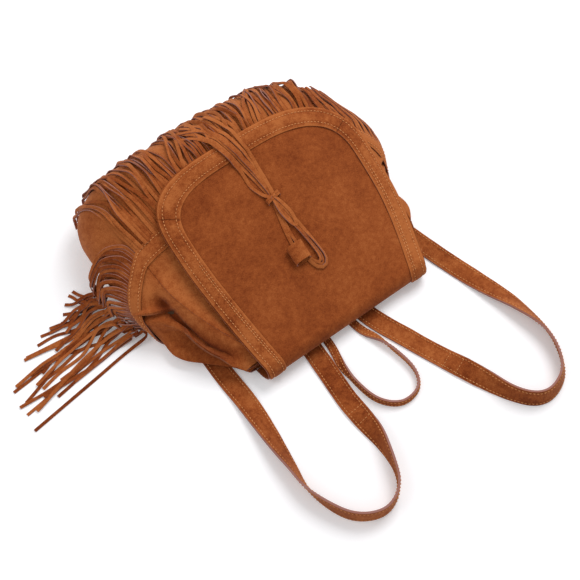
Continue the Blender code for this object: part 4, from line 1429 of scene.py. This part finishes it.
TAB = Vector((-0.0025, -0.0548, 0.0))
KNOT = Vector((0.0070, 0.0035, 0.0))
TASSEL_WIDTH = 0.0036
TASSEL_T = 0.0011
TAB_T = 0.0012
TAB_HALF = 0.0115
TAB_RISE = 0.0052
TAB_LENGTH = 0.018
TAB_SHRINK = 0.44
TIE_T = 0.0009
TIE_HALF = 0.0086
TIE_RISE = 0.0026
TIE_PITCH = 0.0026
TIE_WIDTH = 0.0024
TIE_RUN = Vector((-0.142, 0.990, 0.0))
TIE_ASIDE = Vector((0.990, 0.142, 0.0))
# Plan points of each strip, laid in this order
TASSEL_PLANS = (
    ((-0.0035, -0.0458), (-0.0020, -0.0330), (0.0015, -0.0150), (0.0050, 0.0030), (0.0015, 0.0250),
     (-0.0045, 0.0480), (-0.0105, 0.0700), (-0.0200, 0.0960), (-0.0370, 0.1180)),
    ((0.0020, -0.0458), (0.0015, -0.0330), (0.0040, -0.0150), (0.0065, 0.0030), (0.0045, 0.0250),
     (0.0000, 0.0480), (-0.0060, 0.0700), (-0.0140, 0.0980), (-0.0270, 0.1220)),
    ((0.0035, -0.0640), (0.0065, -0.0715), (0.0130, -0.0745), (0.0175, -0.0680), (0.0165, -0.0530),
     (0.0130, -0.0300), (0.0090, -0.0100), (0.0080, 0.0030), (0.0075, 0.0250), (0.0045, 0.0480),
     (-0.0010, 0.0700), (-0.0085, 0.0980), (-0.0210, 0.1220)),
    ((0.0025, -0.0640), (0.0060, -0.0740), (0.0140, -0.0775), (0.0200, -0.0700), (0.0190, -0.0540),
     (0.0155, -0.0310), (0.0115, -0.0110), (0.0095, 0.0030), (0.0105, 0.0250), (0.0085, 0.0480),
     (0.0040, 0.0700), (-0.0020, 0.0960), (-0.0120, 0.1180)),
    ((0.0040, -0.0635), (0.0075, -0.0700), (0.0125, -0.0715), (0.0150, -0.0650), (0.0140, -0.0510),
     (0.0105, -0.0290), (0.0075, -0.0100), (0.0070, 0.0030), (0.0060, 0.0250), (0.0020, 0.0480),
     (-0.0040, 0.0700), (-0.0120, 0.0960), (-0.0330, 0.1130)),
    ((0.0080, 0.0030), (0.0125, -0.0080), (0.0145, -0.0190), (0.0120, -0.0300), (0.0075, -0.0240),
     (0.0045, -0.0130), (0.0060, 0.0030)),
    ((0.0080, 0.0030), (0.0100, 0.0180), (0.0110, 0.0330), (0.0120, 0.0500), (0.0105, 0.0690),
     (0.0085, 0.0900), (0.0010, 0.1180)),
    ((0.0050, 0.0030), (-0.0010, 0.0110), (-0.0065, 0.0240), (-0.0065, 0.0400), (-0.0100, 0.0560),
     (-0.0150, 0.0740), (-0.0230, 0.0930), (-0.0420, 0.1080)),
)


class SUEDEBAG_OT_tassel(bpy.types.Operator):
    """Roll the tassel's tab, tie its strips and lay them over the flap's far edge"""
    bl_idname = "suede_bag.tassel"
    bl_label = "Tassel"

    def execute(self, context):
        rng = random.Random(settings().seed + 2)
        pile = Pile((-0.09, -0.11), (0.05, 0.14), 0.0005)
        strips = Strips()
        for k, plan in enumerate(TASSEL_PLANS):
            line = spaced(flowing([Vector((x, y, 0.0)) for x, y in plan]), 120)
            heights = pile.lay(np.array([(p.x, p.y) for p in line]), TASSEL_WIDTH, 0.0010, 5)
            points = [Vector((p.x, p.y, flap_top(p.x, p.y) + h)) for p, h in list(zip(line, heights))[::3]]
            asides = []
            for j, p in enumerate(points):
                t = j / (len(points) - 1)
                run = ahead(points, j).normalized()
                on_edge = 0.70 * (1.0 - smooth((t - 0.22) / 0.10)) if len(plan) > 10 else 0.0
                lean = 0.50 * wave(600 + k, t * 5.0) + on_edge
                p.z += abs(math.sin(lean)) * TASSEL_WIDTH * 0.42
                asides.append(Matrix.Rotation(lean, 3, run) @ run.cross(UP).normalized())
            strips.add(points, asides, TASSEL_WIDTH, rng.uniform(0.05, 0.40))
        strips.done("tassel_strips", "tassel_strands", TASSEL_T)

        def roll(u, v):
            y = TAB.y + (v - 0.5) * TAB_LENGTH
            angle = math.radians(50) + math.radians(430) * u
            shrink = 1.0 - TAB_SHRINK * u
            rise = math.copysign(abs(math.sin(angle)) ** 0.75, math.sin(angle))
            return Vector((TAB.x + TAB_HALF * shrink * math.cos(angle), y,
                           flap_z(TAB.x, y) - 0.0002 + TAB_RISE * (1.0 + shrink * rise)))

        sewn("tassel_roll", patch(90, 14, roll), "fringe", "tassel_tab", TAB_T, 0.0)

        ties = bmesh.new()
        for turn in (-0.5, 0.5):
            def tie(u, v, turn=turn):
                angle = 2.0 * math.pi * u
                c, s = (math.copysign(abs(a) ** 0.6, a) for a in (math.cos(angle), math.sin(angle)))
                slant = 0.0016 * (abs(u - 0.5) - 0.25)
                p = KNOT + TIE_RUN * ((v - 0.5) * TIE_WIDTH + TIE_PITCH * turn + slant)
                p += TIE_ASIDE * (TIE_HALF * c)
                return Vector((p.x, p.y, flap_top(p.x, p.y) + (0.0024 + TIE_RISE * s)))

            ring = patch(48, 3, tie, flip=True)
            mesh = bpy.data.meshes.new("tie")
            ring.to_mesh(mesh)
            ring.free()
            ties.from_mesh(mesh)
            bpy.data.meshes.remove(mesh)
        sewn("tassel_tie", ties, "fringe", "tassel_knot", TIE_T, 0.0)
        return {"FINISHED"}


# Stage
class SUEDEBAG_OT_stage(bpy.types.Operator):
    """Set the pale floor, the softbox, the fill and the camera"""
    bl_idname = "suede_bag.stage"
    bl_label = "Floor, Lights And Camera"

    def execute(self, context):
        own = settings()
        bpy.ops.object.select_all(action="DESELECT")
        bpy.ops.mesh.primitive_plane_add(size=FLOOR_SIZE, location=(0.0, 0.0, FLOOR_Z))
        floor = bpy.context.active_object
        floor.name = "floor"
        bpy.ops.object.transform_apply(location=True, rotation=True, scale=True)
        f = Finish("pale_floor")
        f.surface(Base_Color=(0.93, 0.93, 0.95), Roughness=0.9, Specular_IOR_Level=0.1)
        lit = Wire(f, f.shader.outputs[0])
        glow = f.node("Emission", {}, {"Color": (1.0, 1.0, 1.0), "Strength": FLOOR_GLOW})
        paler = f.node("AddShader", {}, {0: lit, 1: glow})
        seen = (f.node("LightPath", {}, {}, "Is Camera Ray") + f.node("LightPath", {}, {}, "Is Glossy Ray")
                + f.node("LightPath", {}, {}, "Is Transmission Ray"))
        both = f.node("MixShader", {}, {0: seen, 1: lit, 2: paler})
        f.feed(f.nodes["Material Output"].inputs["Surface"], both)
        floor.data.materials.append(f.material)

        world = bpy.data.worlds.new("studio")
        bpy.context.scene.world = world
        world.use_nodes = True
        nodes, links = world.node_tree.nodes, world.node_tree.links
        ground = nodes["Background"]
        ground.inputs["Color"].default_value = (1.0, 1.0, 1.0, 1.0)
        ground.inputs["Strength"].default_value = own.fill_light
        backdrop = nodes.new("ShaderNodeBackground")
        backdrop.inputs["Strength"].default_value = 1.0
        path = nodes.new("ShaderNodeLightPath")
        joined = nodes.new("ShaderNodeMixShader")
        links.new(path.outputs["Is Camera Ray"], joined.inputs[0])
        links.new(ground.outputs[0], joined.inputs[1])
        links.new(backdrop.outputs[0], joined.inputs[2])
        links.new(joined.outputs[0], nodes["World Output"].inputs["Surface"])

        for name, place, size, power in (
                ("softbox", Vector((0.95, 0.35, 1.55)), 1.1, own.key_light),
                ("side_fill", Vector((-1.2, 0.5, 1.3)), 1.4, 0.32 * own.key_light)):
            lamp = bpy.data.lights.new(name, "AREA")
            lamp.shape = "SQUARE"
            lamp.size = size
            lamp.energy = power
            obj = bpy.data.objects.new(name, lamp)
            bpy.context.scene.collection.objects.link(obj)
            obj.location = place
            obj.rotation_euler = (Vector((0.0, 0.0, 0.03)) - place).to_track_quat("-Z", "Y").to_euler()

        lens = bpy.data.cameras.new("camera")
        lens.lens = LENS
        lens.sensor_width = SENSOR
        camera = bpy.data.objects.new("camera", lens)
        bpy.context.scene.collection.objects.link(camera)
        camera.matrix_world = Matrix((
            (EYE_RIGHT.x, EYE_UP.x, EYE_BACK.x, EYE.x), (EYE_RIGHT.y, EYE_UP.y, EYE_BACK.y, EYE.y),
            (EYE_RIGHT.z, EYE_UP.z, EYE_BACK.z, EYE.z), (0.0, 0.0, 0.0, 1.0)))
        bpy.context.scene.camera = camera
        bpy.context.scene.view_settings.view_transform = "Standard"
        return {"FINISHED"}


STEPS = (
    SUEDEBAG_OT_stage, SUEDEBAG_OT_body, SUEDEBAG_OT_lining, SUEDEBAG_OT_flap, SUEDEBAG_OT_yoke,
    SUEDEBAG_OT_front_fringe, SUEDEBAG_OT_left_fringe, SUEDEBAG_OT_right_fringe, SUEDEBAG_OT_straps,
    SUEDEBAG_OT_tassel,
)


class SUEDEBAG_PT_panel(bpy.types.Panel):
    """Lists the bag's pieces and their settings"""
    bl_label = "Suede Bag"
    bl_idname = "SUEDEBAG_PT_panel"
    bl_space_type = "VIEW_3D"
    bl_region_type = "UI"
    bl_category = "Suede Bag"

    def draw(self, context):
        own = context.scene.suede_bag
        column = self.layout.column()
        for name in own.bl_rna.properties.keys():
            if name not in ("rna_type", "name"):
                column.prop(own, name)
        for step in STEPS:
            column.operator(step.bl_idname)


def register():
    for cls in (SuedeBagSettings, *STEPS, SUEDEBAG_PT_panel):
        bpy.utils.register_class(cls)
    bpy.types.Scene.suede_bag = PointerProperty(type=SuedeBagSettings)


def unregister():
    del bpy.types.Scene.suede_bag
    for cls in reversed((SuedeBagSettings, *STEPS, SUEDEBAG_PT_panel)):
        bpy.utils.unregister_class(cls)


def main():
    register()
    for step in STEPS:
        group, name = step.bl_idname.split(".")
        getattr(getattr(bpy.ops, group), name)()


if __name__ == "__main__":
    main()
